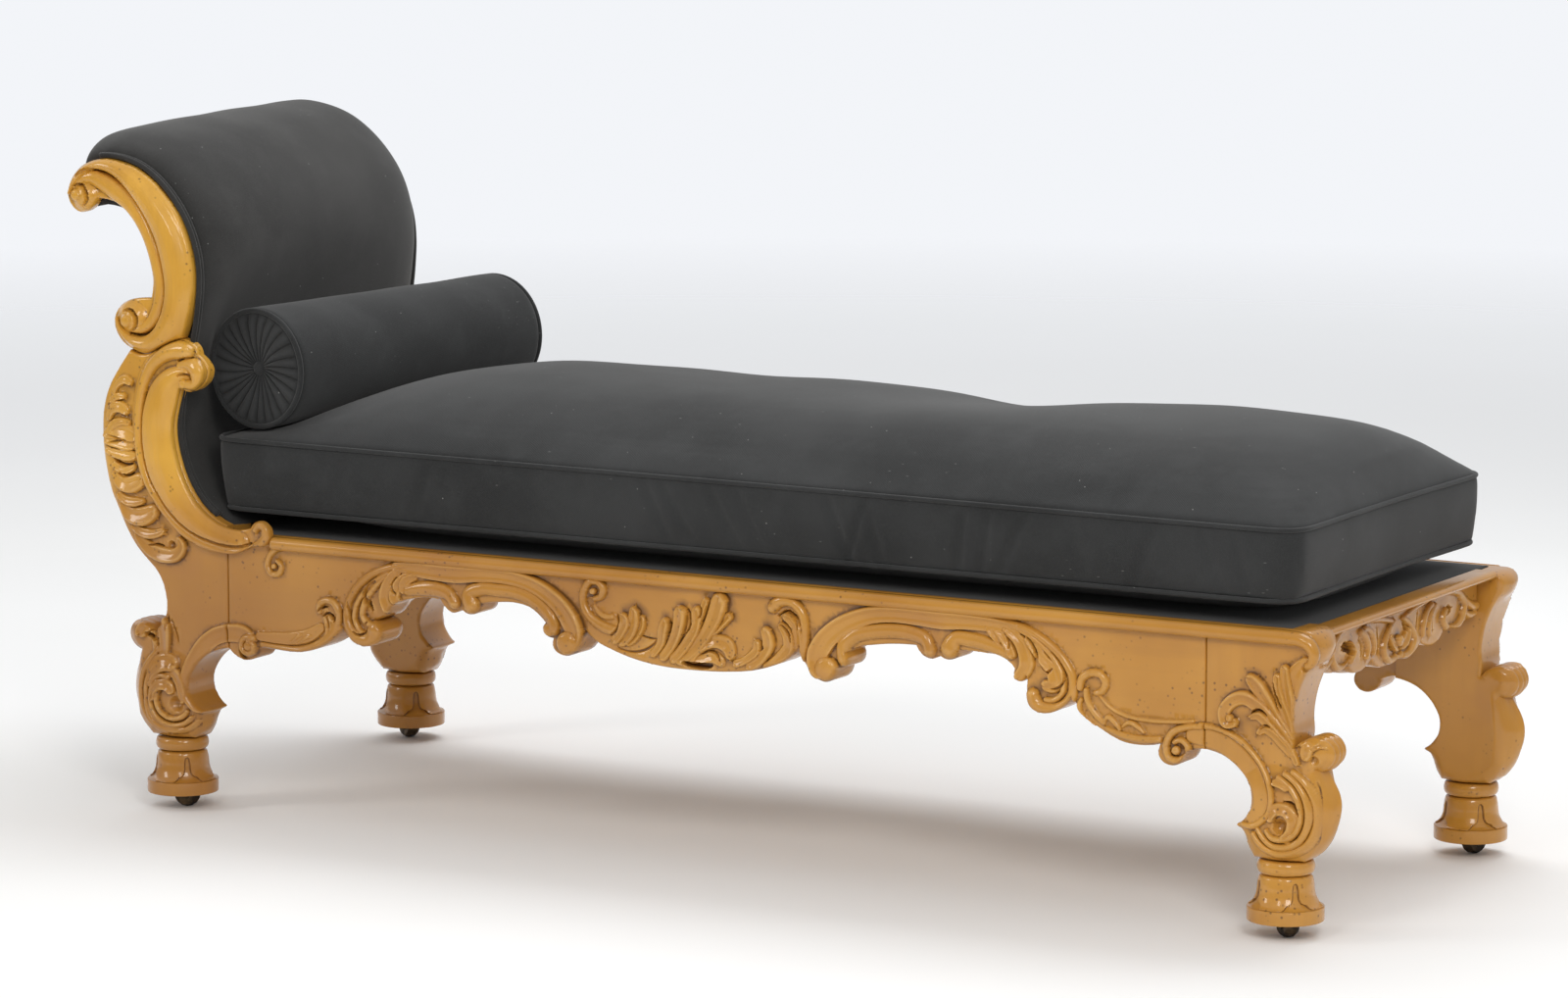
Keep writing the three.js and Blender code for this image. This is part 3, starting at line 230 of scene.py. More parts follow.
def honey_wood(name, grain, carved=True):
    """Polished honey-coloured wood: cloudy tone, paler above the deck by painted light and darker low down at the
    head end by painted shade, grain along one axis, dark flecks, painted shade in recesses, and ridges paler by
    edge wear and painted highlight."""
    wood = Finish(name)
    cloud = wood.ranged(wood.noise(3.1, 4.0), 0.36, 0.66)
    tone = wood.mixed(cloud, (0.43, 0.185, 0.022), (0.60, 0.292, 0.046))
    parts = wood.add("ShaderNodeSeparateXYZ")
    wood.link(wood.place, parts.inputs[0])
    # Painted light: the wood above the deck is made paler, standing in for the stronger light on the head's
    # scrolls.
    lit_tone_above_deck = wood.mixed(cloud, (0.64, 0.32, 0.032), (0.86, 0.48, 0.07))
    tone = wood.mixed(wood.times(wood.ranged(parts.outputs["Z"], 0.40, 0.47), 0.85), tone, lit_tone_above_deck)
    # Painted shade: the wood is darkened low down towards the head end, where less light falls.
    low = wood.times(wood.ranged(parts.outputs["X"], 0.1, -0.6), wood.ranged(parts.outputs["Z"], 0.42, 0.32))
    tone = wood.mixed(wood.times(low, 0.42), tone, (0.24, 0.085, 0.012))
    streak = wood.ranged(wood.noise(1.0, 5.0, 0.6, wood.stretched(grain)), 0.42, 0.7)
    tone = wood.mixed(wood.times(streak, 0.26), tone, (0.31, 0.135, 0.03))
    stain = wood.ranged(wood.noise(9.0, 2.0), 0.56, 0.72)
    tone = wood.mixed(wood.times(stain, 0.3), tone, (0.37, 0.15, 0.04))
    dots = wood.ranged(wood.spots(110.0), 0.24, 0.09)
    sparse = wood.ranged(wood.noise(14.0, 2.0), 0.5, 0.6)
    fleck = wood.times(dots, sparse)
    tone = wood.mixed(wood.times(fleck, 0.75), tone, (0.10, 0.045, 0.016))
    if carved:
        # Painted shade: the carving's recesses are darkened from the painted shading attribute.
        painted_shading = wood.add("ShaderNodeAttribute", attribute_name="painted_shading").outputs["Fac"]
        painted_recess_shade = wood.ranged(painted_shading, -0.22, -0.9)
        tone = wood.mixed(wood.times(painted_recess_shade, 0.86), tone, (0.095, 0.034, 0.008))
        # Ridges made paler: partly edge wear, partly painted highlight.
        ridge = wood.ranged(painted_shading, 0.08, 0.7)
        tone = wood.mixed(wood.times(ridge, 0.34), tone, (0.76, 0.45, 0.14))
    wood.link(tone, wood.shader.inputs["Base Color"])
    gloss = wood.ranged(wood.noise(24.0, 3.0), 0.3, 0.7, 0.3, 0.46)
    wood.link(gloss, wood.shader.inputs["Roughness"])
    height = wood.mixed(wood.times(fleck, 0.8), streak, (0.0, 0.0, 0.0))
    wood.link(wood.bump(height, 0.16, 0.0006), wood.shader.inputs["Normal"])
    wood.set(Coat_Weight=0.8, Coat_Roughness=0.12, Specular_IOR_Level=0.18)
    return wood.material


def charcoal_cloth(name, tint):
    """Charcoal woven cloth: fine weave, faint fading, lint specks, a soft sheen, and painted shade and highlight
    along its folds.
    """
    cloth = Finish(name)
    dark = tuple(0.020 * c for c in tint)
    faded = tuple(0.036 * c for c in tint)
    tone = cloth.mixed(cloth.ranged(cloth.noise(4.5, 3.0), 0.4, 0.68), dark, faded)
    threads = cloth.noise(1.0, 2.0, 0.5, cloth.stretched((900, 900, 900)))
    tone = cloth.mixed(cloth.ranged(threads, 0.45, 0.75, 0.0, 0.5), tone, tuple(0.05 * c for c in tint))
    blotch = cloth.ranged(cloth.noise(16.0, 4.0, 0.65), 0.48, 0.72)
    tone = cloth.mixed(cloth.times(blotch, 0.4), tone, tuple(0.046 * c for c in tint))
    lint = cloth.times(cloth.ranged(cloth.spots(62.0), 0.062, 0.035),
                       cloth.ranged(cloth.noise(17.0, 1.0), 0.55, 0.6))
    tone = cloth.mixed(cloth.times(lint, 0.75), tone, (0.32, 0.32, 0.31))
    fibre = cloth.times(cloth.ranged(cloth.spots(1.0, cloth.stretched((34, 90, 150))), 0.085, 0.05),
                        cloth.ranged(cloth.noise(11.0, 1.0), 0.56, 0.6))
    tone = cloth.mixed(cloth.times(fibre, 0.4), tone, (0.26, 0.26, 0.25))
    # Painted shade in the folds' valleys and painted highlight on their ridges, from the painted shading attribute.
    fold = cloth.add("ShaderNodeAttribute", attribute_name="painted_shading").outputs["Fac"]
    tone = cloth.mixed(cloth.times(cloth.ranged(fold, 0.0, -1.0), 0.85), tone, (0.004, 0.004, 0.004))
    tone = cloth.mixed(cloth.times(cloth.ranged(fold, 0.2, 1.0), 0.5), tone, tuple(0.06 * c for c in tint))
    cloth.link(tone, cloth.shader.inputs["Base Color"])
    across = cloth.add("ShaderNodeTexWave", bands_direction="DIAGONAL")
    across.inputs["Scale"].default_value = 240
    across.inputs["Distortion"].default_value = 1.5
    cloth.link(cloth.place, across.inputs["Vector"])
    height = cloth.times(across.outputs["Fac"], threads)
    cloth.link(cloth.bump(height, 0.35, 0.0006), cloth.shader.inputs["Normal"])
    cloth.set(Roughness=0.88, Sheen_Weight=0.16, Sheen_Roughness=0.5, Specular_IOR_Level=0.2)
    return cloth.material


def dark_bronze():
    """Aged bronze: dark brown metal, rubbed spots brighter, rough where dull."""
    metal = Finish("dark_bronze")
    rubbed = metal.ranged(metal.noise(60.0, 4.0), 0.45, 0.7)
    tone = metal.mixed(rubbed, (0.035, 0.026, 0.018), (0.14, 0.095, 0.05))
    metal.link(tone, metal.shader.inputs["Base Color"])
    metal.link(metal.ranged(rubbed, 0, 1, 0.55, 0.32), metal.shader.inputs["Roughness"])
    metal.link(metal.bump(metal.noise(300.0, 2.0), 0.2, 0.0003), metal.shader.inputs["Normal"])
    metal.set(Metallic=0.85)
    return metal.material


def bare_wood():
    """Unfinished frame wood: pale, grained along the couch, dusty."""
    wood = Finish("bare_wood")
    grain = wood.ranged(wood.noise(1.0, 5.0, 0.6, wood.stretched((7, 70, 70))), 0.35, 0.7)
    tone = wood.mixed(grain, (0.42, 0.27, 0.14), (0.27, 0.155, 0.07))
    dust = wood.ranged(wood.noise(18.0, 3.0), 0.4, 0.75)
    wood.link(wood.mixed(wood.times(dust, 0.35), tone, (0.44, 0.36, 0.27)), wood.shader.inputs["Base Color"])
    wood.link(wood.bump(grain, 0.3, 0.0006), wood.shader.inputs["Normal"])
    wood.set(Roughness=0.75)
    return wood.material


def pale_floor():
    """Plain pale studio floor with a faint unevenness; far from the couch it fades into the room's own colour."""
    ground = Finish("pale_floor")
    blot = ground.ranged(ground.noise(0.8, 2.0), 0.3, 0.7)
    tone = ground.mixed(blot, (0.90, 0.90, 0.895), (0.93, 0.93, 0.93))
    ground.link(tone, ground.shader.inputs["Base Color"])
    ground.set(Roughness=0.7, Specular_IOR_Level=0.15)
    distance = ground.add("ShaderNodeVectorMath", operation="LENGTH")
    ground.link(ground.place, distance.inputs[0])
    fading = ground.add("ShaderNodeMixShader")
    ground.link(ground.ranged(distance.outputs["Value"], 2.5, 7.0), fading.inputs[0])
    ground.link(ground.shader.outputs[0], fading.inputs[1])
    ground.link(ground.add("ShaderNodeBsdfTransparent").outputs[0], fading.inputs[2])
    ground.link(fading.outputs[0], ground.out.inputs[0])
    return ground.material


# Lines and meshes

def unit(vectors):
    """Vectors over their own lengths."""
    return vectors / np.linalg.norm(vectors, axis=1)[:, None]


def course(path):
    """Unit way along a flat path at each of its points, and the unit way to its left."""
    along = unit(np.gradient(path[:, :2], axis=0))
    return along, np.c_[-along[:, 1], along[:, 0]]


def ramp(value, span):
    """0 up to a value of 0, value / span in between, 1 from the span on."""
    return np.clip(value / span, 0, 1)


def soft_ramp(value, span):
    """A ramp r with eased ends: r^2 (3 - 2 r)."""
    share = ramp(value, span)
    return share ** 2 * (3 - 2 * share)


def smooth_line(points, step=2.0):
    """A line through the points, sampled every step: cubic Hermite spans whose slopes are the differences over
    the chord lengths. Columns after the second are carried along."""
    p = np.asarray(points, float)
    chord = np.r_[0, np.cumsum(np.sqrt((np.diff(p[:, :2], axis=0) ** 2).sum(1)))]
    slope = np.gradient(p, chord, axis=0, edge_order=2 if len(p) > 2 else 1)
    t = np.linspace(0, chord[-1], max(2, int(round(chord[-1] / step)) + 1))
    k = np.clip(np.searchsorted(chord, t, side="right") - 1, 0, len(p) - 2)
    h = (chord[k + 1] - chord[k])[:, None]
    u = (t - chord[k])[:, None] / h
    return ((2 * u**3 - 3 * u**2 + 1) * p[k] + (u**3 - 2 * u**2 + u) * h * slope[k]
            + (3 * u**2 - 2 * u**3) * p[k + 1] + (u**3 - u**2) * h * slope[k + 1])


def outline(runs, step=2.2):
    """Closed outline: smooth inside each run, a corner where two runs meet."""
    return np.vstack([smooth_line(run, step)[:-1] for run in runs])


def grid_faces(rows, columns, round_=True):
    """Quads between neighbouring rows and columns of a grid; round_ joins the last column to the first."""
    r, c = np.meshgrid(np.arange(rows - 1), np.arange(columns if round_ else columns - 1), indexing="ij")
    n = (c + 1) % columns
    quads = np.stack([r * columns + c, r * columns + n, (r + 1) * columns + n, (r + 1) * columns + c], -1)
    return quads.reshape(-1, 4)


def end_caps(rows, columns):
    """The two loops that close a grid of rows at its first and last row."""
    return [np.arange(columns)[::-1], np.arange(columns) + (rows - 1) * columns]


def leaned(points):
    """Shift towards the head end that grows with height above the deck and from the front to the back:
    x - lean * (1 + e) r / (r + e) * share across."""
    rise = np.maximum(points[:, 2] - HEAD_BASE, 0) / HEADREST_RISE
    share = (points[:, 1] + OUTER_Y) / (2 * OUTER_Y)
    moved = points.copy()
    moved[:, 0] -= HEAD_LEAN * (1 + LEAN_EASE) * rise / (rise + LEAN_EASE) * share
    return moved


def piece(name, points, faces, finish, body="frame", stands_for=(), flip=False, painted_shading=None,
          caps=()):
    """Put points (mm) and faces into a mesh in the row frame, riding on a body; flip turns every face round."""
    place = (np.asarray(points, float) + (SHIFT, 0, 0)) * 0.001
    faces = [face[:, ::-1] if flip else face for face in (faces if isinstance(faces, list) else [faces])]
    loops = [loop[::-1] if flip else loop for loop in caps]
    mesh = bpy.data.meshes.new(name)
    mesh.from_pydata(place, [], [face for block in [*faces, *loops] for face in np.atleast_2d(block).tolist()])
    mesh.validate()
    mesh.shade_smooth()
    # The painted shading, kept on the mesh for the finishes: painted shade in recesses, folds and gaps, painted
    # highlight on ridges.
    if painted_shading is not None:
        mesh.attributes.new("painted_shading", "FLOAT", "POINT").data.foreach_set("value", painted_shading.astype(np.float32))
    mesh.materials.append(finish)
    made = bpy.data.objects.new(name, mesh)
    bpy.context.collection.objects.link(made)
    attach(made, body)
    if stands_for:
        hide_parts(*stands_for)
    return made


def sharpened(made, angle=38):
    """Crease a piece's shading where its faces meet at more than the angle."""
    made.data.set_sharp_from_angle(angle=radians(angle))
    return made


def turned_grid(profile, columns):
    """Surface of revolution about z: each [radius, height] of the profile becomes a ring of columns points."""
    angle = np.linspace(0, 2 * pi, columns, endpoint=False)
    radius, height = np.asarray(profile, float).T
    rings = np.stack([radius[:, None] * np.cos(angle), radius[:, None] * np.sin(angle),
                      np.repeat(height[:, None], columns, 1)], -1)
    return rings, angle


def tube(path, radius, sides=10, closed=False, guide=(0, 1, 0)):
    """A round section carried along a path of points: ring = path + r (cos a * side + sin a * up), where side and
    up are square to the path."""
    path = np.asarray(path, float)
    along = unit(np.roll(path, -1, 0) - np.roll(path, 1, 0) if closed else np.gradient(path, axis=0))
    side = unit(np.cross(along, np.asarray(guide, float)))
    up = np.cross(along, side)
    angle = np.linspace(0, 2 * pi, sides, endpoint=False)
    radius = np.broadcast_to(np.asarray(radius, float), (len(path),))[:, None, None]
    rings = path[:, None] + radius * (np.cos(angle)[None, :, None] * side[:, None]
                                      + np.sin(angle)[None, :, None] * up[:, None])
    faces = grid_faces(len(path), sides)
    caps = end_caps(len(path), sides)
    if closed:
        last = (len(path) - 1) * sides
        here = np.arange(sides)
        nxt = (here + 1) % sides
        faces = np.vstack([faces, np.stack([last + here, last + nxt, nxt, here], -1)])
        caps = []
    return rings.reshape(-1, 3), faces, caps


# Carving

# Cross-sections of the strokes: height shares over places from the right edge, -1, to the left one, 1
PROFILES = {
    "bead": (np.linspace(-1, 1, 41), np.sqrt(1 - np.linspace(-1, 1, 41) ** 2)),
    "leaf": ([-1, -0.93, -0.8, -0.6, -0.2, 0.25, 0.65, 0.88, 1], [0, 0.62, 0.92, 1, 0.76, 0.56, 0.6, 0.5, 0]),
    "band": ([-1, -0.95, -0.82, -0.6, -0.25, 0.25, 0.7, 1], [0, 0.7, 1, 0.92, 0.66, 0.56, 0.6, 0.5]),
    "moulding": ([-1, -0.95, -0.85, -0.7, -0.45, -0.15, 0.15, 0.35, 0.5, 0.7, 1],
                 [0.12, 0.4, 0.62, 0.79, 0.94, 1, 0.96, 0.86, 0.72, 0.52, 0.32]),
    "flat": ([-1, -0.93, -0.8, 0.8, 0.93, 1], [0, 0.75, 1, 1, 0.75, 0]),
    "dome": (np.linspace(-1, 1, 41), 1 - np.linspace(-1, 1, 41) ** 2),
    "eye": ([-1, -0.88, -0.6, 0, 0.6, 0.88, 1], [0, 0.72, 0.94, 1, 0.94, 0.72, 0]),
}


def nearest(spots, line):
    """Distance from each spot to the nearest point of a line, whole arrays a block at a time."""
    gap = np.empty(len(spots))
    for start in range(0, len(spots), 3000):
        block = spots[start:start + 3000, None] - line[None]
        gap[start:start + 3000] = np.sqrt((block ** 2).sum(2).min(1))
    return gap


def closest(edge, spots):
    """For each point of the edge, which of the spots lies nearest."""
    found = np.empty(len(edge), int)
    for start in range(0, len(edge), 60):
        block = spots[None] - edge[start:start + 60, None]
        found[start:start + 60] = (block ** 2).sum(2).argmin(1)
    return found


def stroke_over(spots, stroke):
    """Height of one stroke at the spots near it: H(s) * profile(u), u the distance from its path over the half
    width there, signed so that the path's left is positive."""
    profile, path = stroke
    reach = path[:, 2].max()
    near = np.flatnonzero(((spots > path[:, :2].min(0) - reach) & (spots < path[:, :2].max(0) + reach)).all(1))
    height = np.zeros(len(near))
    along = np.gradient(path[:, :2], axis=0) if len(path) > 1 else np.array([[1.0, 0.0]])
    for start in range(0, len(near), 3000):
        gap = spots[near[start:start + 3000], None] - path[None, :, :2]
        ratio = (gap ** 2).sum(2) / path[None, :, 2] ** 2
        k = ratio.argmin(1)
        rows = np.arange(len(k))
        u = np.sqrt(ratio[rows, k])
        own = gap[rows, k]
        left = along[k, 0] * own[:, 1] - along[k, 1] * own[:, 0]
        rise = np.interp(np.where(left < 0, -u, u), *PROFILES[profile], left=0, right=0)
        height[start:start + 3000] = np.where(u <= 1, rise * path[k, 3], 0)
    return near, height


# Factors on a profile's half width and height
FULLNESS = {"leaf": (1.34, 1.1), "moulding": (1.0, 1.3)}


def prepared(strokes, step=1.3):
    """Strokes with their [x, z, half width, height] points drawn out into dense paths, widths and heights times
    the profile's fullness."""
    return [(profile, (smooth_line(points, step) if len(points) > 1 else np.asarray(points, float))
             * (1, 1, *FULLNESS.get(profile, (1, 1)))) for profile, points in strokes]


def relief(spots, ground, raised, sunk):
    """Height of the carving: the highest ground stroke, plus the highest raised stroke, less the cuts."""
    base, over = np.zeros(len(spots)), np.zeros(len(spots))
    for strokes, total in ((ground, base), (raised, over)):
        for stroke in strokes:
            near, height = stroke_over(spots, stroke)
            total[near] = np.maximum(total[near], height)
    height = base + over
    for stroke in sunk:
        near, depth = stroke_over(spots, stroke)
        height[near] -= depth
    return height


def combs(strokes, spacing):
    """Points laid across every stroke at even places from edge to edge, so that ridges and edges are kept."""
    laid = []
    for _, path in strokes:
        if len(path) < 2:
            ring = np.linspace(0, 2 * pi, 36, endpoint=False)
            size = np.linspace(0.1, 1.04, max(4, int(path[0, 2] / spacing)))
            disc = np.stack(np.meshgrid(size, ring, indexing="ij"), -1).reshape(-1, 2)
            laid.append(path[:, :2] + path[0, 2] * disc[:, :1] * np.c_[np.cos(disc[:, 1]), np.sin(disc[:, 1])])
            continue
        along, left = course(path)
        u = np.r_[np.linspace(-0.97, 0.97, int(2 * path[:, 2].max() / spacing) + 2), -1.05, 1.05, -1.3, 1.3]
        laid.append((path[:, None, :2] + u[None, :, None] * path[:, None, 2:3] * left[:, None]).reshape(-1, 2))
        for tip, way in ((path[0], -along[0]), (path[-1], along[-1])):
            turn = np.arctan2(way[1], way[0]) + np.linspace(-pi / 2, pi / 2, 11)
            size = np.array([0.35, 0.7, 0.95, 1.05])
            fan = size[:, None, None] * np.stack([np.cos(turn), np.sin(turn)], -1)[None]
            laid.append(tip[:2] + tip[2] * fan.reshape(-1, 2))
    return np.vstack(laid) if laid else np.empty((0, 2))


def within(spots, edge):
    """Whether each spot lies inside a closed edge: a line to its right crosses the edge an odd number of times."""
    x0, z0 = edge.T
    x1, z1 = np.roll(edge, -1, 0).T
    slope = (x1 - x0) / np.where(z1 == z0, 1, z1 - z0)
    inside = np.empty(len(spots), bool)
    for start in range(0, len(spots), 3000):
        x, z = spots[start:start + 3000, :1], spots[start:start + 3000, 1:]
        crossed = ((z0 > z) != (z1 > z)) & (x < x0 + (z - z0) * slope)
        inside[start:start + 3000] = crossed.sum(1) % 2 == 1
    return inside


def filled(edge, inner, thin):
    """Triangles over the inside of a closed edge, through the inner points, none closer than thin."""
    cell = np.round(inner / thin).astype(np.int64)
    keep = np.unique(cell, axis=0, return_index=True)[1]
    inner = inner[np.sort(keep)]
    inner = inner[within(inner, edge)]
    inner = inner[nearest(inner, edge) > 0.45]
    spots = np.vstack([edge, inner])
    laid, _, tris, *_ = delaunay_2d_cdt(list(map(Vector, spots.tolist())), [], [list(range(len(edge)))],
                                        1, 1e-5, False)
    verts, tris = np.array([tuple(v) for v in laid]), np.array(tris, int)
    tris = tris[within(verts[tris].mean(1), edge)]
    used, tris = np.unique(tris, return_inverse=True)
    verts, tris = verts[used], tris.reshape(-1, 3)
    side = verts[tris]
    area = np.cross(side[:, 1] - side[:, 0], side[:, 2] - side[:, 0])
    return verts, np.where((area < 0)[:, None], tris[:, ::-1], tris)


def signed_area(edge):
    """Twice the area inside a closed edge, the sum of x z' - z x'; positive where the edge runs anticlockwise."""
    return (edge[:, 0] * np.roll(edge[:, 1], -1) - edge[:, 1] * np.roll(edge[:, 0], -1)).sum()


def inward_way(edge):
    """Unit way inwards at each point of a closed edge, square to the line between its neighbours."""
    along = unit(np.roll(edge, -1, 0) - np.roll(edge, 1, 0))
    return np.c_[-along[:, 1], along[:, 0]] * (1 if signed_area(edge) > 0 else -1)


def edge_rows(edge, depths):
    """Rows of points inside a closed edge, moved in along its own normals."""
    inward = inward_way(edge)
    rows = [edge + inward * depth for depth in depths]
    return np.vstack([row[nearest(row, edge) > depth * 0.93] for row, depth in zip(rows, depths)])


def eased(gap, radius):
    """How far a rounded edge falls back, a quarter circle: r - sqrt(r^2 - (r - gap)^2)."""
    inside = np.clip(radius - gap, 0, radius)
    return radius - np.sqrt(radius ** 2 - inside ** 2)


def softness(spots, base, patches):
    """Edge radius at each spot: the base radius, larger around [x, z, reach, radius] patches."""
    radius = np.full(len(spots), float(base))
    for x, z, reach, size in patches:
        fall = np.exp(-(((spots - (x, z)) ** 2).sum(1) / reach ** 2))
        radius = np.maximum(radius, base + (size - base) * fall)
    return radius


# Painted shading of the carving: below zero the finishes paint shade in recesses, above zero a highlight on ridges.
def painted_shading_amount(verts, tris, height, scale=2.4):
    """How far the carving stands above (+) or lies below (-) its surroundings: the height less its mean over the
    neighbours, spread over many passes, on a scale of a few millimetres."""
    pairs = np.vstack([tris[:, [0, 1]], tris[:, [1, 2]], tris[:, [2, 0]]])
    pairs = np.unique(np.sort(pairs, axis=1), axis=0)
    count = np.bincount(pairs.ravel(), minlength=len(verts))
    soft = height.copy()
    for _ in range(6):
        total = (np.bincount(pairs[:, 0], soft[pairs[:, 1]], len(verts))
                 + np.bincount(pairs[:, 1], soft[pairs[:, 0]], len(verts)))
        soft = 0.3 * soft + 0.7 * total / np.maximum(count, 1)
    return np.clip((height - soft) / scale, -1, 1)


def carved_board(edge, inner, outer, ground=(), raised=(), sunk=(), radius=4.0, back_radius=2.0, patches=(),
                 spacing=1.55, coarse=7.0, swell=None):
    """A board cut to a closed edge in (x, z) whose outer face, at distance outer from the couch's middle plane,
    carries relief, and whose inner face is flat. Over the share t of the thickness its side swells out by
    round * sin(pi t) ** 0.9, plus ribbed * (sqrt(sin(pi t)) + |sin(4 pi t)| ** 0.7) / 2, plus
    ridge * exp(-((t - 0.5) / 0.1)^2), where swell gives round, ribbed and ridge at each spot. Returns points
    (x, distance, z), faces and the painted shading: below zero painted shade in recesses, above zero painted
    highlight on ridges."""
    ground, raised, sunk = prepared(ground), prepared(raised), prepared(sunk)
    low, high = edge.min(0) + coarse / 2, edge.max(0)
    field = np.stack(np.meshgrid(*(np.arange(a, b, coarse) for a, b in zip(low, high))), -1)
    largest = max([radius] + [patch[3] for patch in patches])
    depths = np.array([0.07, 0.2, 0.42, 0.7, 1.0]) * radius
    if patches:
        depths = np.r_[depths, np.linspace(radius, largest, 6)[1:]]
    rows = edge_rows(edge, depths)
    laid = np.vstack([rows, combs(raised + sunk, spacing), combs(ground, spacing * 1.7), field.reshape(-1, 2)])
    face, tris = filled(edge, laid, spacing * 0.5)
    gap = nearest(face, edge)
    height = relief(face, ground, raised, sunk)
    # Painted shade in the relief's recesses and painted highlight on its ridges.
    painted_shading = painted_shading_amount(face, tris, height)
    fall = eased(gap, softness(face, radius, patches))
    if swell:
        share = ramp(sum(swell(face)[:2]), 12)
        fall += share * (np.maximum(16 - gap, 0) ** 2 / 32 - fall)
    out = outer + height - fall * np.clip((height + 8) / 8, 0.4, 1.6)
    back_rows = edge_rows(edge, np.array([0.1, 0.3, 0.6, 1.0]) * back_radius)
    if patches:
        back_rows = np.vstack([back_rows, edge_rows(edge, np.linspace(back_radius, largest, 6)[1:])])
    back, back_tris = filled(edge, np.vstack([back_rows, field.reshape(-1, 2)]), spacing)
    back_soft = softness(back, back_radius, [(x, z, r, s) for x, z, r, s in patches if s > 12])
    back_fall = eased(nearest(back, edge), back_soft)
    if swell:
        share = ramp(sum(swell(back)[:2]), 12)
        back_fall += share * (np.maximum(16 - nearest(back, edge), 0) ** 2 / 32 - back_fall)
    back_out = (inner(back) if callable(inner) else inner) + back_fall
    front_ring, back_ring = closest(edge, face), closest(edge, back)
    between = np.linspace(0, 1, 26 if swell else 6)[1:-1, None]
    near, far = out[front_ring], back_out[back_ring]
    round_, ribbed, ridge = swell(edge) if swell else np.zeros((3, len(edge)))
    moved = (round_ * np.sin(pi * between) ** 0.9
             + ribbed * (np.sin(pi * between) ** 0.5 + np.abs(np.sin(4 * pi * between)) ** 0.7) / 2
             + ridge * np.exp(-((between - 0.5) / 0.1) ** 2))
    side = edge - moved[..., None] * inward_way(edge)
    wall = np.stack([side[..., 0], near + (far - near) * between, side[..., 1]], -1)
    points = np.vstack([np.c_[face[:, 0], out, face[:, 1]], np.c_[back[:, 0], back_out, back[:, 1]],
                        wall.reshape(-1, 3)])
    size = len(edge)
    start = len(face) + len(back)
    rings = np.vstack([front_ring[None], start + np.arange(len(between) * size).reshape(-1, size),
                       len(face) + back_ring[None]])
    nxt = np.roll(rings, -1, 1)
    quads = np.stack([rings[:-1], nxt[:-1], nxt[1:], rings[1:]], -1).reshape(-1, 4)
    if signed_area(edge) > 0:
        quads = quads[:, ::-1]
    painted_shading = np.r_[painted_shading, np.zeros(len(points) - len(face))]
    return points, [tris, back_tris[:, ::-1] + len(face), quads], painted_shading


def carved_pair(label, board, finish, fitted):
    """Put a board on the front, and its mirror image on the back, each fitted, in place of the frame's own."""
    points, faces, painted_shading = board
    for name, side in SIDES:
        node = label.format(name)
        made = piece("carved_" + node, fitted(points * (1, side, 1)), faces, finish, stands_for=(node,),
                     flip=side > 0, painted_shading=painted_shading)
        sharpened(made, 52)


# Outlines, as in the frame. Leg tables give [outward share of BELLY_HALF, height share of RAIL_TOP].
ARCH_SHARES = [
    [-0.815, 0.378], [-0.74, 0.386], [-0.63, 0.406], [-0.54, 0.431], [-0.51, 0.458], [-0.52, 0.489],
    [-0.63, 0.531], [-0.815, 0.569], [-1.015, 0.594], [-1.25, 0.61]]
SEAM_FOOT_SHARE = 0.617
INNER_BELLY_SHARES = [
    [-0.5, 0.267], [-0.59, 0.285], [-0.65, 0.31], [-0.68, 0.338], [-0.73, 0.36], [-0.83, 0.374], [-0.815, 0.378]]
OUTER_BELLY_SHARES = [
    [0.5, 0.267], [0.66, 0.292], [0.79, 0.333], [0.86, 0.397], [0.87, 0.458], [0.82, 0.519], [0.72, 0.582]]
KNOB_SHARES = [
    [0.72, 0.582], [0.88, 0.6], [0.96, 0.632], [0.9, 0.664], [0.72, 0.682], [0.51, 0.678], [0.34, 0.652]]
FOOT_WAIST_SHARES = [
    [0.34, 0.652], [0.36, 0.694], [0.34, 0.736], [0.36, 0.783], [0.42, 0.833], [0.52, 0.883], [0.64, 0.928],
    [0.74, 0.956], [0.78, 0.985], [0.74, 1.015], [0.64, 1.036]]
HEAD_WAIST_SHARES = [[0.34, 0.652], [0.12, 0.694], [0.05, 0.744], [0.08, 0.8], [0.17, 0.847], [0.34, 0.889]]
# Headrest tables give [outward share of HEADREST_REACH, share of HEADREST_RISE above its base].
BACK_EDGE_SHARES = [
    [0.38, -0.092], [0.55, -0.056], [0.7, -0.012], [0.82, 0.036], [0.92, 0.084], [0.99, 0.134], [1.03, 0.184],
    [1.035, 0.236], [1.01, 0.284], [0.95, 0.326], [0.86, 0.364], [0.74, 0.4], [0.55, 0.45]]
SCROLL_SEAT_SHARES = [[0.55, 0.45], [0.4, 0.44], [0.22, 0.446], [0.05, 0.462], [-0.12, 0.478], [-0.28, 0.488]]
BLOB_SHARES = [[-0.28, 0.488], [-0.4, 0.482], [-0.5, 0.466], [-0.53, 0.448]]
INNER_KNOB_SHARES = [
    [-0.53, 0.448], [-0.62, 0.434], [-0.69, 0.414], [-0.67, 0.388], [-0.56, 0.364], [-0.41, 0.352], [-0.28, 0.36]]
FRONT_EDGE_SHARES = [
    [-0.28, 0.36], [-0.21, 0.31], [-0.16, 0.26], [-0.17, 0.216], [-0.23, 0.168], [-0.32, 0.122], [-0.44, 0.082],
    [-0.59, 0.048], [-0.76, 0.024], [-0.95, 0.008]]
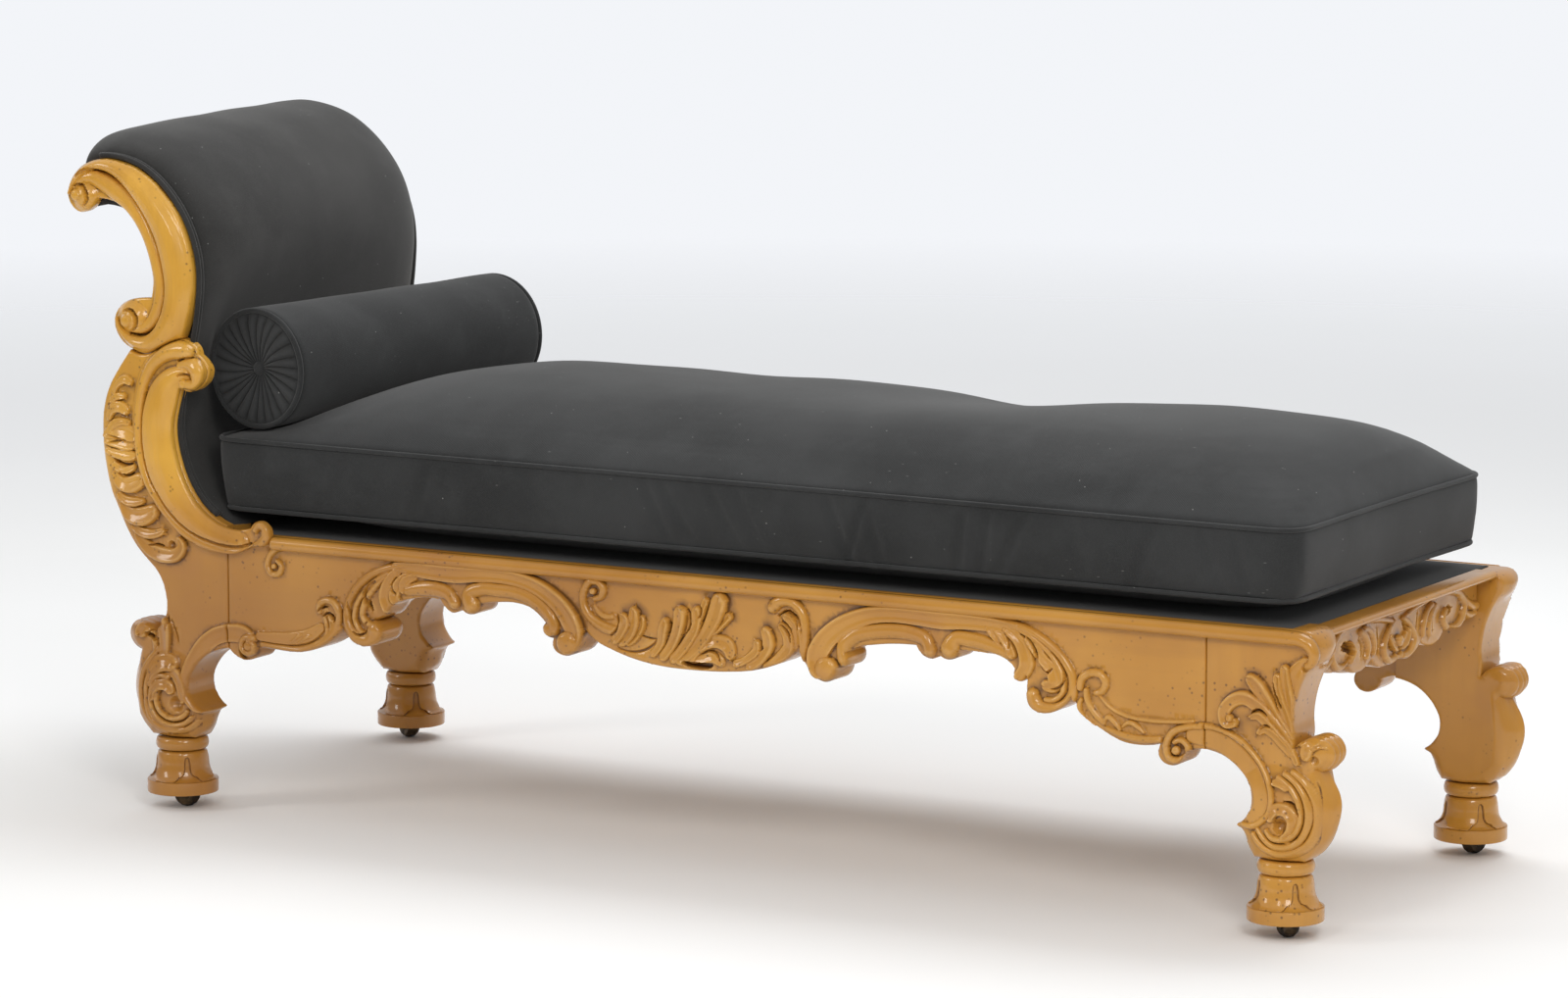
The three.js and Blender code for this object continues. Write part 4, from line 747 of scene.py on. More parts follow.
LOWER_SCROLL_BACK_SHARES = [
    [0.06, 0.458], [0.24, 0.436], [0.35, 0.406], [0.42, 0.372], [0.47, 0.332], [0.5, 0.284], [0.5, 0.236],
    [0.47, 0.186], [0.4, 0.138], [0.3, 0.094], [0.17, 0.054], [0.02, 0.018], [-0.14, -0.012], [-0.32, -0.036],
    [-0.58, -0.054], [-0.88, -0.062], [-1.15, -0.06], [-1.32, -0.044]]
TAIL_VOLUTE_SHARES = [
    [-1.32, -0.044], [-1.45, -0.036], [-1.6, -0.034], [-1.69, -0.016], [-1.68, 0.012], [-1.57, 0.03],
    [-1.43, 0.026], [-1.34, 0.008]]
TAIL_TOP_SHARES = [[-1.34, 0.008], [-1.15, 0.002], [-0.95, 0.008]]
UPPER_OUTER_SHARES = [
    [-0.28, 0.488], [-0.36, 0.526], [-0.42, 0.564], [-0.46, 0.608], [-0.47, 0.652], [-0.44, 0.7], [-0.37, 0.752],
    [-0.25, 0.804], [-0.09, 0.85], [0.12, 0.89], [0.38, 0.922], [0.66, 0.94], [0.93, 0.946], [1.16, 0.936],
    [1.36, 0.916], [1.5, 0.882], [1.55, 0.848], [1.5, 0.82], [1.38, 0.802], [1.24, 0.804], [1.11, 0.82],
    [1.05, 0.84]]
UPPER_INNER_SHARES = [
    [1.05, 0.84], [0.85, 0.836], [0.66, 0.822], [0.5, 0.796], [0.38, 0.76], [0.29, 0.716], [0.23, 0.67],
    [0.21, 0.63], [0.24, 0.588]]
UPPER_VOLUTE_SHARES = [
    [0.24, 0.588], [0.4, 0.586], [0.57, 0.58], [0.72, 0.564], [0.81, 0.54], [0.83, 0.514], [0.78, 0.486],
    [0.68, 0.464], [0.55, 0.45]]
# Rail table: [share of HALF_SPACING from the middle, share of RAIL_DEPTH below RAIL_TOP].
RAIL_EDGE_SHARES = [
    [[-0.881, 0.8625], [-0.865, 0.925], [-0.846, 0.944], [-0.83, 0.9125], [-0.8225, 0.831]],
    [[-0.8225, 0.831], [-0.8, 0.831], [-0.765, 0.8375], [-0.735, 0.825], [-0.7075, 0.7875], [-0.681, 0.719],
     [-0.6575, 0.606]],
    [[-0.6575, 0.606], [-0.65, 0.6625], [-0.6325, 0.706], [-0.614, 0.725], [-0.595, 0.706], [-0.581, 0.65],
     [-0.5775, 0.5875], [-0.584, 0.531], [-0.595, 0.506]],
    [[-0.595, 0.506], [-0.574, 0.456], [-0.559, 0.369], [-0.52, 0.3], [-0.4725, 0.2875]],
    [[-0.4725, 0.2875], [-0.464, 0.344], [-0.451, 0.3875], [-0.434, 0.35]],
    [[-0.434, 0.35], [-0.414, 0.3875], [-0.399, 0.35], [-0.395, 0.294]],
    [[-0.395, 0.294], [-0.3625, 0.266], [-0.3325, 0.259], [-0.304, 0.2875], [-0.286, 0.344], [-0.276, 0.394]],
    [[-0.276, 0.394], [-0.281, 0.4375], [-0.276, 0.4875], [-0.261, 0.5125]],
    [[-0.261, 0.5125], [-0.2625, 0.575], [-0.254, 0.625], [-0.239, 0.644], [-0.22, 0.6125], [-0.2075, 0.544],
     [-0.201, 0.425]],
    [[-0.201, 0.425], [-0.1825, 0.5], [-0.155, 0.556], [-0.115, 0.6125], [-0.0625, 0.65], [-0.0075, 0.656],
     [0.05, 0.644], [0.1, 0.6125], [0.135, 0.5625], [0.165, 0.494], [0.189, 0.375]],
    [[0.189, 0.375], [0.1925, 0.469], [0.201, 0.556], [0.214, 0.619], [0.23, 0.644], [0.246, 0.6125],
     [0.255, 0.519]],
    [[0.255, 0.519], [0.2675, 0.506], [0.275, 0.45], [0.2725, 0.3875]],
    [[0.2725, 0.3875], [0.2875, 0.344], [0.3125, 0.319], [0.35, 0.294], [0.39, 0.2875]],
    [[0.39, 0.2875], [0.399, 0.35], [0.4125, 0.381], [0.43, 0.35]],
    [[0.43, 0.35], [0.4475, 0.375], [0.461, 0.344], [0.465, 0.294]],
    [[0.465, 0.294], [0.506, 0.294], [0.5375, 0.3125], [0.559, 0.3875]],
    [[0.559, 0.3875], [0.559, 0.45], [0.5675, 0.4875], [0.5825, 0.4375]],
    [[0.5825, 0.4375], [0.581, 0.575], [0.586, 0.656], [0.6, 0.7], [0.6175, 0.706], [0.6375, 0.669],
     [0.66, 0.5625]],
    [[0.66, 0.5625], [0.669, 0.65], [0.685, 0.725], [0.7125, 0.806], [0.7425, 0.869], [0.775, 0.881],
     [0.806, 0.856]],
    [[0.806, 0.856], [0.8025, 0.931], [0.811, 0.994], [0.826, 1.0125], [0.841, 0.981], [0.85, 0.9]],
    [[0.85, 0.9], [0.865, 0.869], [0.881, 0.8625]]]
FOOT_RAIL_EDGE_SHARES = [
    [[0, 0.92], [0.1, 1], [0.22, 0.97], [0.3, 0.8]],
    [[0.3, 0.8], [0.4, 0.93], [0.52, 0.9], [0.6, 0.66]],
    [[0.6, 0.66], [0.72, 0.78], [0.86, 0.72], [1, 0.62]]]


def leg_points(end, shares):
    """Leg table to (x, z): the height runs from the ring's top at its foot share to RAIL_TOP at 1."""
    out, up = np.asarray(shares, float).T
    height = RING_TOP + (up - LEG_FOOT_SHARE) / (1 - LEG_FOOT_SHARE) * (RAIL_TOP - RING_TOP)
    return np.c_[end * (HALF_SPACING + out * BELLY_HALF), height]


def head_points(shares):
    """Headrest table to (x, z)."""
    out, up = np.asarray(shares, float).T
    return np.c_[-HALF_SPACING - out * HEADREST_REACH, HEAD_BASE + up * HEADREST_RISE]


def rail_points(shares):
    """Rail table to (x, z)."""
    along, down = np.asarray(shares, float).T
    return np.c_[along * HALF_SPACING, RAIL_TOP - down * RAIL_DEPTH]


def turned_curl(eye, radius, start, turns, half, height, inner=0.35, steps=14):
    """A volute's bead: a spiral about its eye whose radius shrinks evenly from radius to inner times that, over
    turns (positive is anticlockwise), starting at start degrees."""
    share = np.linspace(0, 1, steps)
    angle = radians(start) + 2 * pi * turns * share
    size = radius * (1 - (1 - inner) * share)
    return np.c_[eye[0] + size * np.cos(angle), eye[1] + size * np.sin(angle), half * (1 - 0.35 * share),
                 np.full(steps, height)].tolist()


def beside(path, share, half, depth):
    """A stroke's points that follow another one, moved to its left by a share of its half width."""
    place = np.asarray(path, float)
    left = course(place)[1]
    return np.c_[place[:, :2] + share * place[:, 2:3] * left, np.full((len(place), 2), (half, depth))].tolist()


def strokes(*groups):
    """Carving strokes, a profile and a path each, from groups of a profile and the paths that share it."""
    return [(profile, path) for profile, *paths in groups for path in paths]


# Carving patterns. A path's points are [x, z, half width, height].
BELLY_DOMES = {end: [("dome", [[800 * end, 155, 58, 5]])] for end in (-1, 1)}

HEAD_SEAM_RAISED = strokes(
    ("band",
     [[-668, 240, 8, 6], [-682, 244, 12, 6], [-700, 244, 12, 6.5], [-722, 238, 12, 7], [-737, 228, 12, 7],
      [-751, 212, 12, 7], [-760, 197, 12, 7], [-765, 180, 12, 7], [-765, 163, 12, 7], [-759, 150, 11, 7],
      [-750, 142, 10, 7], [-735, 139, 8, 6], [-718, 142, 6, 6], [-705, 146, 3, 5]]),
    ("bead", turned_curl((-670, 229), 12.5, 60, 1.1, 5.5, 9, 0.55)),
    ("eye", [[-670, 229, 7.5, 9]]))
HEAD_LEG_RAISED = strokes(
    ("bead",
     [[-812, 215, 4, 4], [-826, 200, 5, 6], [-838, 180, 5, 6], [-842, 160, 5, 6], [-840, 140, 5, 6],
      [-832, 122, 5, 6], [-818, 110, 5, 6], [-800, 104, 4, 5]],
     [[-800, 205, 4, 5], [-815, 196, 4.5, 6], [-826, 182, 4.5, 6], [-832, 165, 4.5, 6], [-832, 146, 4.5, 6],
      [-826, 130, 4.5, 6], [-812, 117, 4.5, 6], [-795, 110, 4.5, 6], [-775, 110, 3.5, 5]]),
    ("leaf", [[-828, 172, 5, 6], [-820, 186, 8, 8], [-806, 196, 10, 9], [-793, 196, 9, 8]]),
    ("bead", [[-826, 165, 4, 6], [-812, 178, 4.5, 7], [-797, 178, 4.5, 7]]),
    ("leaf", [[-822, 150, 5, 8], [-818, 161, 6, 9], [-808, 167, 6, 9], [-797, 166, 6, 8], [-792, 160, 4.5, 7]]),
    ("bead",
     [[-812, 160, 4, 7], [-815, 145, 4, 8], [-810, 132, 4, 8], [-798, 124, 4, 8], [-785, 123, 4, 8],
      [-772, 129, 4, 7], [-768, 134, 3, 6]],
     [[-824, 155, 4, 7], [-824, 140, 4, 8], [-817, 125, 4, 8], [-803, 116, 4, 8], [-787, 114, 4, 8],
      [-772, 118, 4, 7], [-763, 126, 3, 6]],
     [[-832, 150, 4, 6], [-831, 134, 4.2, 7], [-822, 117, 4.2, 7], [-806, 108, 4.2, 7], [-788, 106, 4.2, 7],
      [-770, 110, 4.2, 6], [-758, 120, 3, 5]]),
    ("leaf",
     [[-806, 206, 6, 5], [-804, 225, 7, 7], [-806, 242, 8, 8], [-816, 251, 8, 9], [-830, 246, 8, 9],
      [-841, 234, 7, 8]]),
    ("bead", [[-820, 204, 4, 4], [-820, 220, 4, 5], [-824, 233, 4, 6]]),
    ("leaf", [[-775, 150, 5, 6], [-777, 168, 6, 7], [-785, 182, 6, 7], [-796, 186, 5, 6]]))
HEAD_LEG_SUNK = strokes(
    ("dome", [[-786, 142, 11, 9]]),
    ("bead",
     [[-832, 231, 3, 7], [-826, 230, 4, 10], [-819, 226, 3, 7]],
     [[-800, 258, 1.6, 2], [-799, 248, 1.8, 3], [-800, 240, 1.4, 2]],
     [[-812, 262, 1.6, 2], [-810, 254, 1.8, 3]],
     [[-795, 252, 1.6, 3], [-789, 240, 1.8, 3], [-784, 225, 1.4, 2]],
     [[-686, 226, 2.5, 5], [-684, 216, 3, 7], [-674, 210, 2.5, 5]]))
HEAD_LOBES_RAISED = strokes(
    ("leaf",
     [[-880, 548, 3, 4], [-872, 560, 4, 6], [-860, 566, 5, 7], [-853, 563, 4, 7]],
     [[-884, 537, 3, 4], [-872, 543, 4, 6], [-864, 544, 3.5, 6]],
     [[-888, 515, 4, 5], [-880, 527, 6, 7], [-868, 529, 6, 8], [-861, 525, 5, 7]],
     [[-888, 497, 4, 5], [-878, 507, 5, 7], [-865, 510, 4, 8], [-856, 509, 3, 7]],
     [[-893, 492, 5, 5], [-875, 496, 8, 8], [-855, 495, 9, 9], [-846, 492, 6, 8]],
     [[-892, 483, 4, 5], [-875, 482, 6, 7], [-855, 480, 6, 8], [-847, 480, 4, 7]],
     [[-890, 470, 4, 4], [-875, 467, 5, 7], [-858, 466, 6, 8], [-848, 466, 4.5, 7]],
     [[-880, 452, 4, 4], [-868, 446, 4, 6], [-855, 448, 4, 7], [-849, 451, 3, 6]],
     [[-880, 440, 4, 4], [-868, 428, 7, 7], [-852, 428, 9, 9], [-840, 434, 8, 8]],
     [[-873, 412, 4, 4], [-862, 406, 5, 6], [-848, 405, 5, 7], [-836, 407, 3, 6]],
     [[-868, 402, 4, 4], [-855, 388, 8, 7], [-835, 387, 10, 9], [-820, 394, 8, 8]],
     [[-850, 372, 4, 4], [-838, 366, 5, 6], [-818, 365, 5, 7], [-806, 369, 4, 6]],
     [[-845, 362, 4, 4], [-825, 345, 7, 7], [-800, 338, 8, 9], [-782, 341, 7, 9], [-774, 352, 5.5, 8],
      [-778, 360, 4, 7]]))
HEAD_LOBES_SUNK = strokes(
    ("bead",
     [[-890, 491, 1, 1], [-870, 488, 1.6, 5], [-852, 484, 1, 1]],
     [[-890, 480, 1, 1], [-875, 484, 1.6, 4], [-860, 486, 1, 1]],
     [[-884, 464, 1.5, 5], [-868, 454, 2.2, 8], [-852, 455, 1.5, 5]],
     [[-870, 443, 1.2, 3], [-860, 439, 1.6, 6], [-850, 444, 1.2, 3]],
     [[-825, 350, 1.2, 3], [-815, 351, 1.8, 6], [-805, 350, 1.2, 3]]),
    ("dome", [[-792, 352, 6, 6]]))

LOWER_SCROLL_RAISED = strokes(
    ("moulding",
     [[-762, 580, 10, 8], [-783, 570, 17, 9], [-797, 552, 22, 10], [-803, 530, 25, 11], [-806, 505, 27, 11],
      [-804, 480, 27, 11], [-799, 455, 26.5, 11], [-788, 430, 26, 10], [-773, 408, 25, 10], [-752, 390, 23, 9],
      [-728, 376, 20, 8], [-700, 368, 17, 7], [-680, 364, 14, 6]]),
    ("bead",
     [[-762, 610, 13, 12], [-780, 609, 11.5, 11], [-797, 602, 10, 10], [-813, 590, 9, 9], [-825, 572, 8, 8],
      [-833, 552, 7.5, 8], [-837, 527, 7, 8], [-838, 502, 6.8, 8], [-837, 478, 6.8, 8], [-832, 455, 6.8, 8],
      [-823, 433, 6.8, 8], [-808, 411, 7, 8], [-790, 391, 7, 8], [-768, 373, 7, 8], [-745, 362, 7, 8],
      [-720, 355, 7, 8], [-700, 352, 7, 8], [-680, 352, 7, 8], [-662, 356, 7.5, 9], [-648, 364, 8, 9],
      [-637, 376, 9, 10], [-638, 388, 8.5, 10], [-648, 390, 6.5, 9], [-654, 384, 5, 8]],
     [[-770, 590, 6, 8], [-755, 592, 9, 11], [-741, 584, 14, 14], [-744, 570, 9, 12], [-757, 566, 7, 10]]),
    ("eye", [[-764, 567, 6.5, 10]]))
LOWER_SCROLL_SUNK = strokes(
    ("bead",
     beside(LOWER_SCROLL_RAISED[1][1][5:19], 1.1, 2.2, 5),
     [[-774, 596, 1.6, 3], [-764, 600, 2, 5], [-752, 602, 1.6, 3]],
     [[-770, 578, 1.6, 3], [-757, 579, 2.2, 6], [-751, 574, 1.6, 3]]))

UPPER_SCROLL_RAISED = strokes(
    ("moulding",
     [[-947, 806, 3, 9], [-934, 828, 6, 10], [-918, 841, 6.5, 11], [-897, 846, 8, 12], [-872, 842, 11.5, 13],
      [-850, 830, 15, 14], [-828, 812, 19, 15], [-808, 789, 22, 15], [-791, 763, 24.5, 15], [-781, 737, 25.5, 15],
      [-775, 712, 26, 15], [-773, 690, 26, 15], [-776, 667, 26, 15], [-784, 645, 25, 15], [-797, 628, 22, 14],
      [-815, 616, 16, 13], [-835, 613, 11, 12], [-855, 619, 8, 11], [-869, 632, 5, 10], [-875, 645, 3, 8]]),
    ("bead",
     [[-940, 808, 4, 8], [-932, 822, 7, 9], [-915, 828, 10, 9], [-896, 822, 12, 9], [-877, 812, 13, 9],
      [-858, 799, 12.5, 9], [-842, 782, 11.5, 9], [-828, 762, 10.5, 9], [-818, 740, 10, 9], [-811, 715, 9.5, 9],
      [-807, 695, 9.5, 9], [-808, 675, 9.5, 9], [-814, 655, 9.5, 9], [-824, 641, 8.5, 9], [-838, 633, 7, 9],
      [-853, 632, 5, 8]]),
    ("dome", [[-925, 803, 22, 13]]),
    ("eye", [[-934, 804, 9, 16]]),
    ("dome", [[-852, 645, 25, 13]]),
    ("eye", [[-857, 643, 10, 16]]))
UPPER_SCROLL_SUNK = strokes(
    ("bead",
     beside(UPPER_SCROLL_RAISED[1][1][1:], 1.1, 2.4, 6),
     [[-939, 816, 1.5, 3], [-928, 817, 2.6, 7], [-919, 808, 3, 8], [-918, 798, 2.6, 6], [-924, 791, 1.5, 3]],
     [[-862, 656, 1.5, 3], [-851, 657, 2.8, 8], [-843, 649, 3.2, 9], [-843, 638, 2.6, 6], [-849, 631, 1.5, 3]]))

RAIL_LEFT_RAISED = strokes(
    ("flat", [[-655, 243, 6, 3], [-630, 243, 8, 3], [-600, 245, 9, 3], [-575, 252, 9, 3], [-560, 262, 7, 3]]),
    ("bead",
     [[-650, 233, 3.5, 5], [-620, 231, 4, 5], [-590, 231, 5, 6], [-565, 238, 7, 7], [-545, 250, 9, 7],
      [-535, 265, 9, 6]],
     [[-560, 283, 3.5, 5], [-560, 293, 4.5, 7], [-550, 299, 5, 7], [-538, 297, 5.5, 8], [-531, 288, 5.5, 8],
      [-530, 276, 5, 7], [-536, 264, 5, 6]],
     [[-552, 276, 3, 5], [-549, 268, 3.5, 6], [-548, 258, 4, 6], [-556, 246, 4, 5], [-570, 238, 3, 4]],
     [[-545, 277, 3, 5], [-541, 266, 3.5, 6], [-543, 254, 4, 6], [-553, 243, 4, 5]],
     [[-539, 272, 3, 5], [-535, 260, 3.5, 6], [-540, 250, 3.5, 5]],
     [[-610, 238, 2, 3], [-600, 243, 3, 4], [-592, 249, 3.5, 5], [-588, 250, 3, 4]],
     [[-596, 238, 2, 3], [-588, 243, 3, 4], [-577, 249, 3.5, 5], [-573, 250, 3, 4]],
     [[-615, 364, 5, 6], [-628, 359, 5, 6], [-638, 348, 4.5, 6], [-640, 336, 4.5, 6], [-633, 327, 4.5, 7],
      [-623, 328, 4.5, 7], [-618, 337, 4, 7], [-624, 344, 3.5, 6]]),
    ("eye", [[-630, 337, 4, 6]]))
RAIL_LEFT_SUNK = strokes(
    ("bead",
     [[-561, 285, 1.2, 4], [-556, 289, 1.8, 6], [-550, 290, 1.2, 4]],
     [[-556, 277, 1.2, 4], [-548, 282, 1.8, 6], [-540, 278, 1.8, 6], [-537, 273, 1.2, 4]]))
ARCH_ONE_RAISED = strokes(
    ("bead",
     [[-400, 356, 3.5, 5], [-430, 354, 5, 6], [-460, 347, 5.5, 7], [-485, 335, 5.5, 7], [-505, 316, 5.5, 7],
      [-516, 296, 5.5, 7], [-517, 276, 6, 8], [-510, 262, 8, 9], [-498, 253, 11, 10], [-480, 254, 12, 11],
      [-472, 266, 14, 12]],
     [[-425, 350, 3, 4], [-450, 343, 4, 6], [-473, 331, 4, 6], [-492, 313, 4, 6], [-503, 295, 4, 7],
      [-505, 278, 4, 7], [-497, 264, 4, 7], [-486, 258, 3.5, 7]],
     [[-440, 344, 3, 5], [-462, 333, 4.5, 7], [-478, 318, 4.5, 7], [-490, 300, 4.5, 8], [-492, 284, 4.5, 9],
      [-484, 275, 4.5, 10], [-476, 274, 4, 10]]),
    ("leaf",
     [[-440, 345, 5, 6], [-453, 328, 6, 9], [-458, 310, 6, 9], [-452, 296, 6, 9]],
     [[-425, 340, 5, 6], [-440, 325, 5.5, 8], [-443, 312, 5.5, 9], [-437, 303, 4.5, 8]],
     [[-415, 340, 4, 5], [-430, 328, 5, 7], [-430, 322, 4, 6]]),
    ("band",
     [[-440, 352, 7, 7], [-410, 351, 10, 8], [-380, 350, 11.5, 9], [-350, 350, 12, 9], [-320, 352, 10.5, 9],
      [-290, 353, 10, 9], [-260, 351, 10, 9], [-235, 345, 10.5, 9], [-213, 335, 11.5, 10], [-195, 322, 12.5, 10],
      [-182, 307, 13.5, 11], [-174, 290, 13, 11], [-175, 276, 12, 11]][::-1]),
    ("eye", [[-184, 275, 16, 12]]),
    ("bead",
     [[-425, 322, 7, 6], [-400, 327, 9.5, 7], [-378, 327, 10, 8], [-362, 322, 9, 8], [-354, 312, 8.5, 9]],
     [[-328, 311, 12, 10], [-332, 325, 10, 9], [-315, 333, 9, 8], [-290, 334, 9, 7], [-262, 333, 9, 7],
      [-240, 327, 9, 7], [-222, 317, 9, 8], [-208, 303, 9, 9], [-205, 290, 8, 9]]),
    ("eye", [[-211, 290, 9, 9]]))
ARCH_ONE_SUNK = strokes(
    ("bead",
     [[-514, 300, 1, 2], [-512, 286, 1.5, 4], [-507, 275, 1, 2]],
     [[-490, 272, 1.2, 3], [-484, 276, 1.6, 5]],
     [[-505, 262, 1.2, 3], [-495, 259, 1.8, 6], [-487, 264, 1.8, 6], [-486, 272, 1.2, 3]],
     [[-473, 330, 2, 5], [-488, 312, 3.5, 8], [-484, 300, 3.5, 9], [-480, 292, 2, 5]],
     [[-440, 338, 1.2, 3], [-446, 325, 2, 6], [-441, 316, 1.2, 3]]))
CENTRE_RAISED = strokes(
    ("bead",
     [[-118, 296, 7, 5], [-140, 303, 7, 6], [-155, 315, 6, 7], [-162, 330, 5.5, 7], [-160, 346, 5.5, 7],
      [-150, 357, 5.5, 8], [-138, 356, 5.5, 8], [-132, 347, 5.5, 8], [-136, 338, 5, 7], [-144, 335, 4, 6]]),
    ("eye", [[-147, 344, 4.5, 7]]),
    ("bead", [[-145, 325, 3, 3], [-135, 315, 4, 4], [-120, 314, 4, 4]]),
    ("leaf",
     [[-115, 285, 5, 5], [-105, 298, 6, 7], [-100, 310, 6, 8], [-103, 316, 4, 7]],
     [[-105, 283, 5, 5], [-92, 298, 7, 7], [-87, 315, 7, 8], [-88, 324, 5, 7]],
     [[-95, 283, 4, 4], [-80, 297, 4, 6], [-75, 310, 4, 6], [-76, 316, 3, 5]],
     [[-60, 272, 4, 4], [-48, 288, 5, 6], [-45, 303, 6, 8], [-42, 314, 5, 8]],
     [[-45, 270, 5, 5], [-30, 290, 6, 7], [-22, 310, 7, 9], [-20, 327, 7.5, 9]],
     [[-30, 268, 5, 5], [-10, 290, 6, 7], [3, 312, 6, 8], [4, 330, 6.5, 8]],
     [[0, 310, 4, 6], [12, 332, 4.5, 8], [17, 345, 4, 7]],
     [[-20, 268, 6, 5], [5, 288, 7, 7], [22, 310, 8, 9], [33, 332, 9.5, 10], [37, 346, 9.5, 10]],
     [[20, 300, 4, 5], [38, 316, 4.5, 7], [50, 328, 4.5, 7]],
     [[-5, 270, 5, 5], [15, 290, 6, 7], [35, 296, 7, 8], [50, 290, 7, 8], [53, 280, 5, 7]],
     [[-10, 266, 4, 4], [15, 272, 5, 5], [30, 275, 6, 6], [38, 270, 5, 5]],
     [[60, 270, 4, 4], [80, 280, 4.5, 6], [90, 290, 5, 7], [90, 298, 4, 7]],
     [[80, 268, 5, 5], [100, 285, 6, 7], [107, 300, 7, 8], [103, 313, 6, 8]],
     [[105, 268, 6, 5], [125, 283, 7, 7], [136, 298, 7, 8], [133, 314, 6, 8], [126, 322, 4.5, 7]],
     [[120, 268, 5, 5], [143, 285, 6, 7], [150, 305, 6, 8], [145, 325, 6, 8], [133, 335, 5, 8]]),
    ("bead",
     [[150, 280, 6, 6], [158, 300, 6, 8], [159, 322, 6, 8], [154, 342, 6.5, 8], [140, 354, 7, 9], [124, 354, 8, 9],
      [113, 345, 8, 8]]))
CENTRE_SUNK = strokes(
    ("bead",
     [[-113, 315, 1.4, 4], [-112, 300, 2, 6], [-122, 290, 1.4, 4]],
     [[-112, 275, 1, 2], [-85, 272, 1.8, 4], [-65, 280, 1.8, 4], [-55, 290, 1, 2]],
     [[-78, 294, 1, 2], [-66, 291, 1.6, 4], [-55, 291, 1, 2]],
     [[-36, 315, 1.4, 3], [-34, 305, 2.2, 6], [-38, 300, 1.4, 3]],
     [[-10, 332, 1.4, 3], [-5, 318, 2.4, 7], [-12, 302, 1.4, 3]],
     [[9, 338, 1.2, 3], [12, 328, 2, 6], [9, 324, 1.2, 3]],
     [[22, 282, 1.2, 3], [32, 280, 2.2, 6], [37, 272, 1.2, 3]]),
    ("flat", [[-13, 264, 3.5, 14], [5, 262.5, 4.5, 16], [22, 264, 3.5, 14]]),
    ("bead",
     [[97, 298, 1.2, 3], [98, 293, 2, 5], [96, 290, 1.2, 3]],
     [[125, 325, 1.4, 3], [135, 318, 2.4, 7], [140, 305, 1.4, 3]],
     [[120, 335, 1.4, 4], [135, 341, 2.2, 8], [147, 332, 2.2, 7], [150, 322, 1.4, 4]]))
ARCH_TWO_RAISED = strokes(
    ("band",
     [[450, 347, 8, 7], [420, 350, 9.5, 8], [385, 351, 10.5, 9], [350, 350, 12, 9], [315, 351, 11, 9],
      [280, 351, 10.5, 9], [250, 347, 11, 9], [225, 338, 12, 10], [203, 325, 13, 10], [186, 308, 14, 11],
      [177, 290, 14, 11], [180, 275, 14, 11]]),
    ("eye", [[190, 275, 16, 12]]),
    ("bead",
     [[216, 291, 12, 10], [214, 306, 10, 9], [226, 318, 9.5, 8], [250, 326, 9.5, 7], [280, 330, 9.5, 7],
      [308, 329, 9.5, 7], [328, 322, 9, 8], [333, 310, 9, 9]],
     [[361, 315, 13, 10], [368, 327, 10, 8], [390, 328, 9.5, 7], [415, 324, 9, 7], [440, 316, 8, 6]],
     [[410, 356, 4, 5], [440, 354, 5, 6], [470, 346, 5.5, 7], [497, 332, 5.5, 7], [518, 313, 5.5, 7],
      [529, 292, 6, 7], [528, 272, 7, 8], [517, 258, 8, 9], [498, 252, 9, 9], [480, 257, 10, 10],
      [475, 268, 9, 10]],
     [[430, 352, 3, 4], [460, 345, 4, 6], [487, 330, 4, 6], [507, 310, 4, 6], [517, 290, 4, 7], [515, 274, 4, 7],
      [505, 265, 4, 7], [493, 264, 3.5, 7]]),
    ("leaf",
     [[470, 335, 5, 6], [488, 315, 5.5, 8], [503, 298, 6, 9], [505, 283, 7, 9], [494, 281, 6, 8]],
     [[440, 345, 5, 6], [462, 325, 6.5, 8], [467, 305, 7.5, 9], [458, 290, 6, 8]],
     [[425, 345, 4, 5], [440, 328, 4.5, 7], [447, 315, 4.5, 7]],
     [[415, 345, 4, 5], [424, 335, 4, 6], [427, 330, 3, 5]]))
ARCH_TWO_SUNK = strokes(
    ("bead",
     [[468, 338, 1.2, 3], [480, 322, 1.8, 6], [487, 303, 2, 7], [496, 298, 2, 7], [502, 303, 1.2, 3]],
     [[517, 302, 1.2, 3], [518, 288, 1.6, 5], [508, 279, 1.8, 5], [502, 278, 1.2, 3]],
     [[434, 344, 1, 2], [442, 332, 1.5, 4], [443, 323, 1, 2]]))
RAIL_RIGHT_RAISED = strokes(
    ("bead",
     [[560, 278, 4, 5], [568, 281, 5, 6], [573, 292, 5.5, 7], [567, 301, 5.5, 8], [553, 302, 5.5, 8],
      [542, 295, 5.5, 8], [539, 283, 5, 7]],
     [[565, 275, 2, 3], [580, 262, 3, 4], [600, 254, 3, 4], [630, 251, 3, 4], [660, 252, 3, 4], [690, 255, 3, 4]],
     [[547, 280, 4, 6], [549, 268, 4.5, 6], [556, 256, 4.5, 5], [570, 243, 4, 4]],
     [[570, 243, 2.5, 3], [577, 250, 4, 5], [585, 245, 4, 5], [592, 237, 3, 4]],
     [[575, 236, 3, 4], [595, 230, 4.5, 5], [620, 227, 5, 5], [645, 229, 5, 5]],
     [[540, 268, 3, 5], [538, 256, 4, 6], [545, 245, 4, 5], [556, 238, 3, 4]],
     [[596, 240, 2, 3], [606, 246, 3.5, 5], [616, 242, 3.5, 5], [624, 236, 2.5, 4]]))
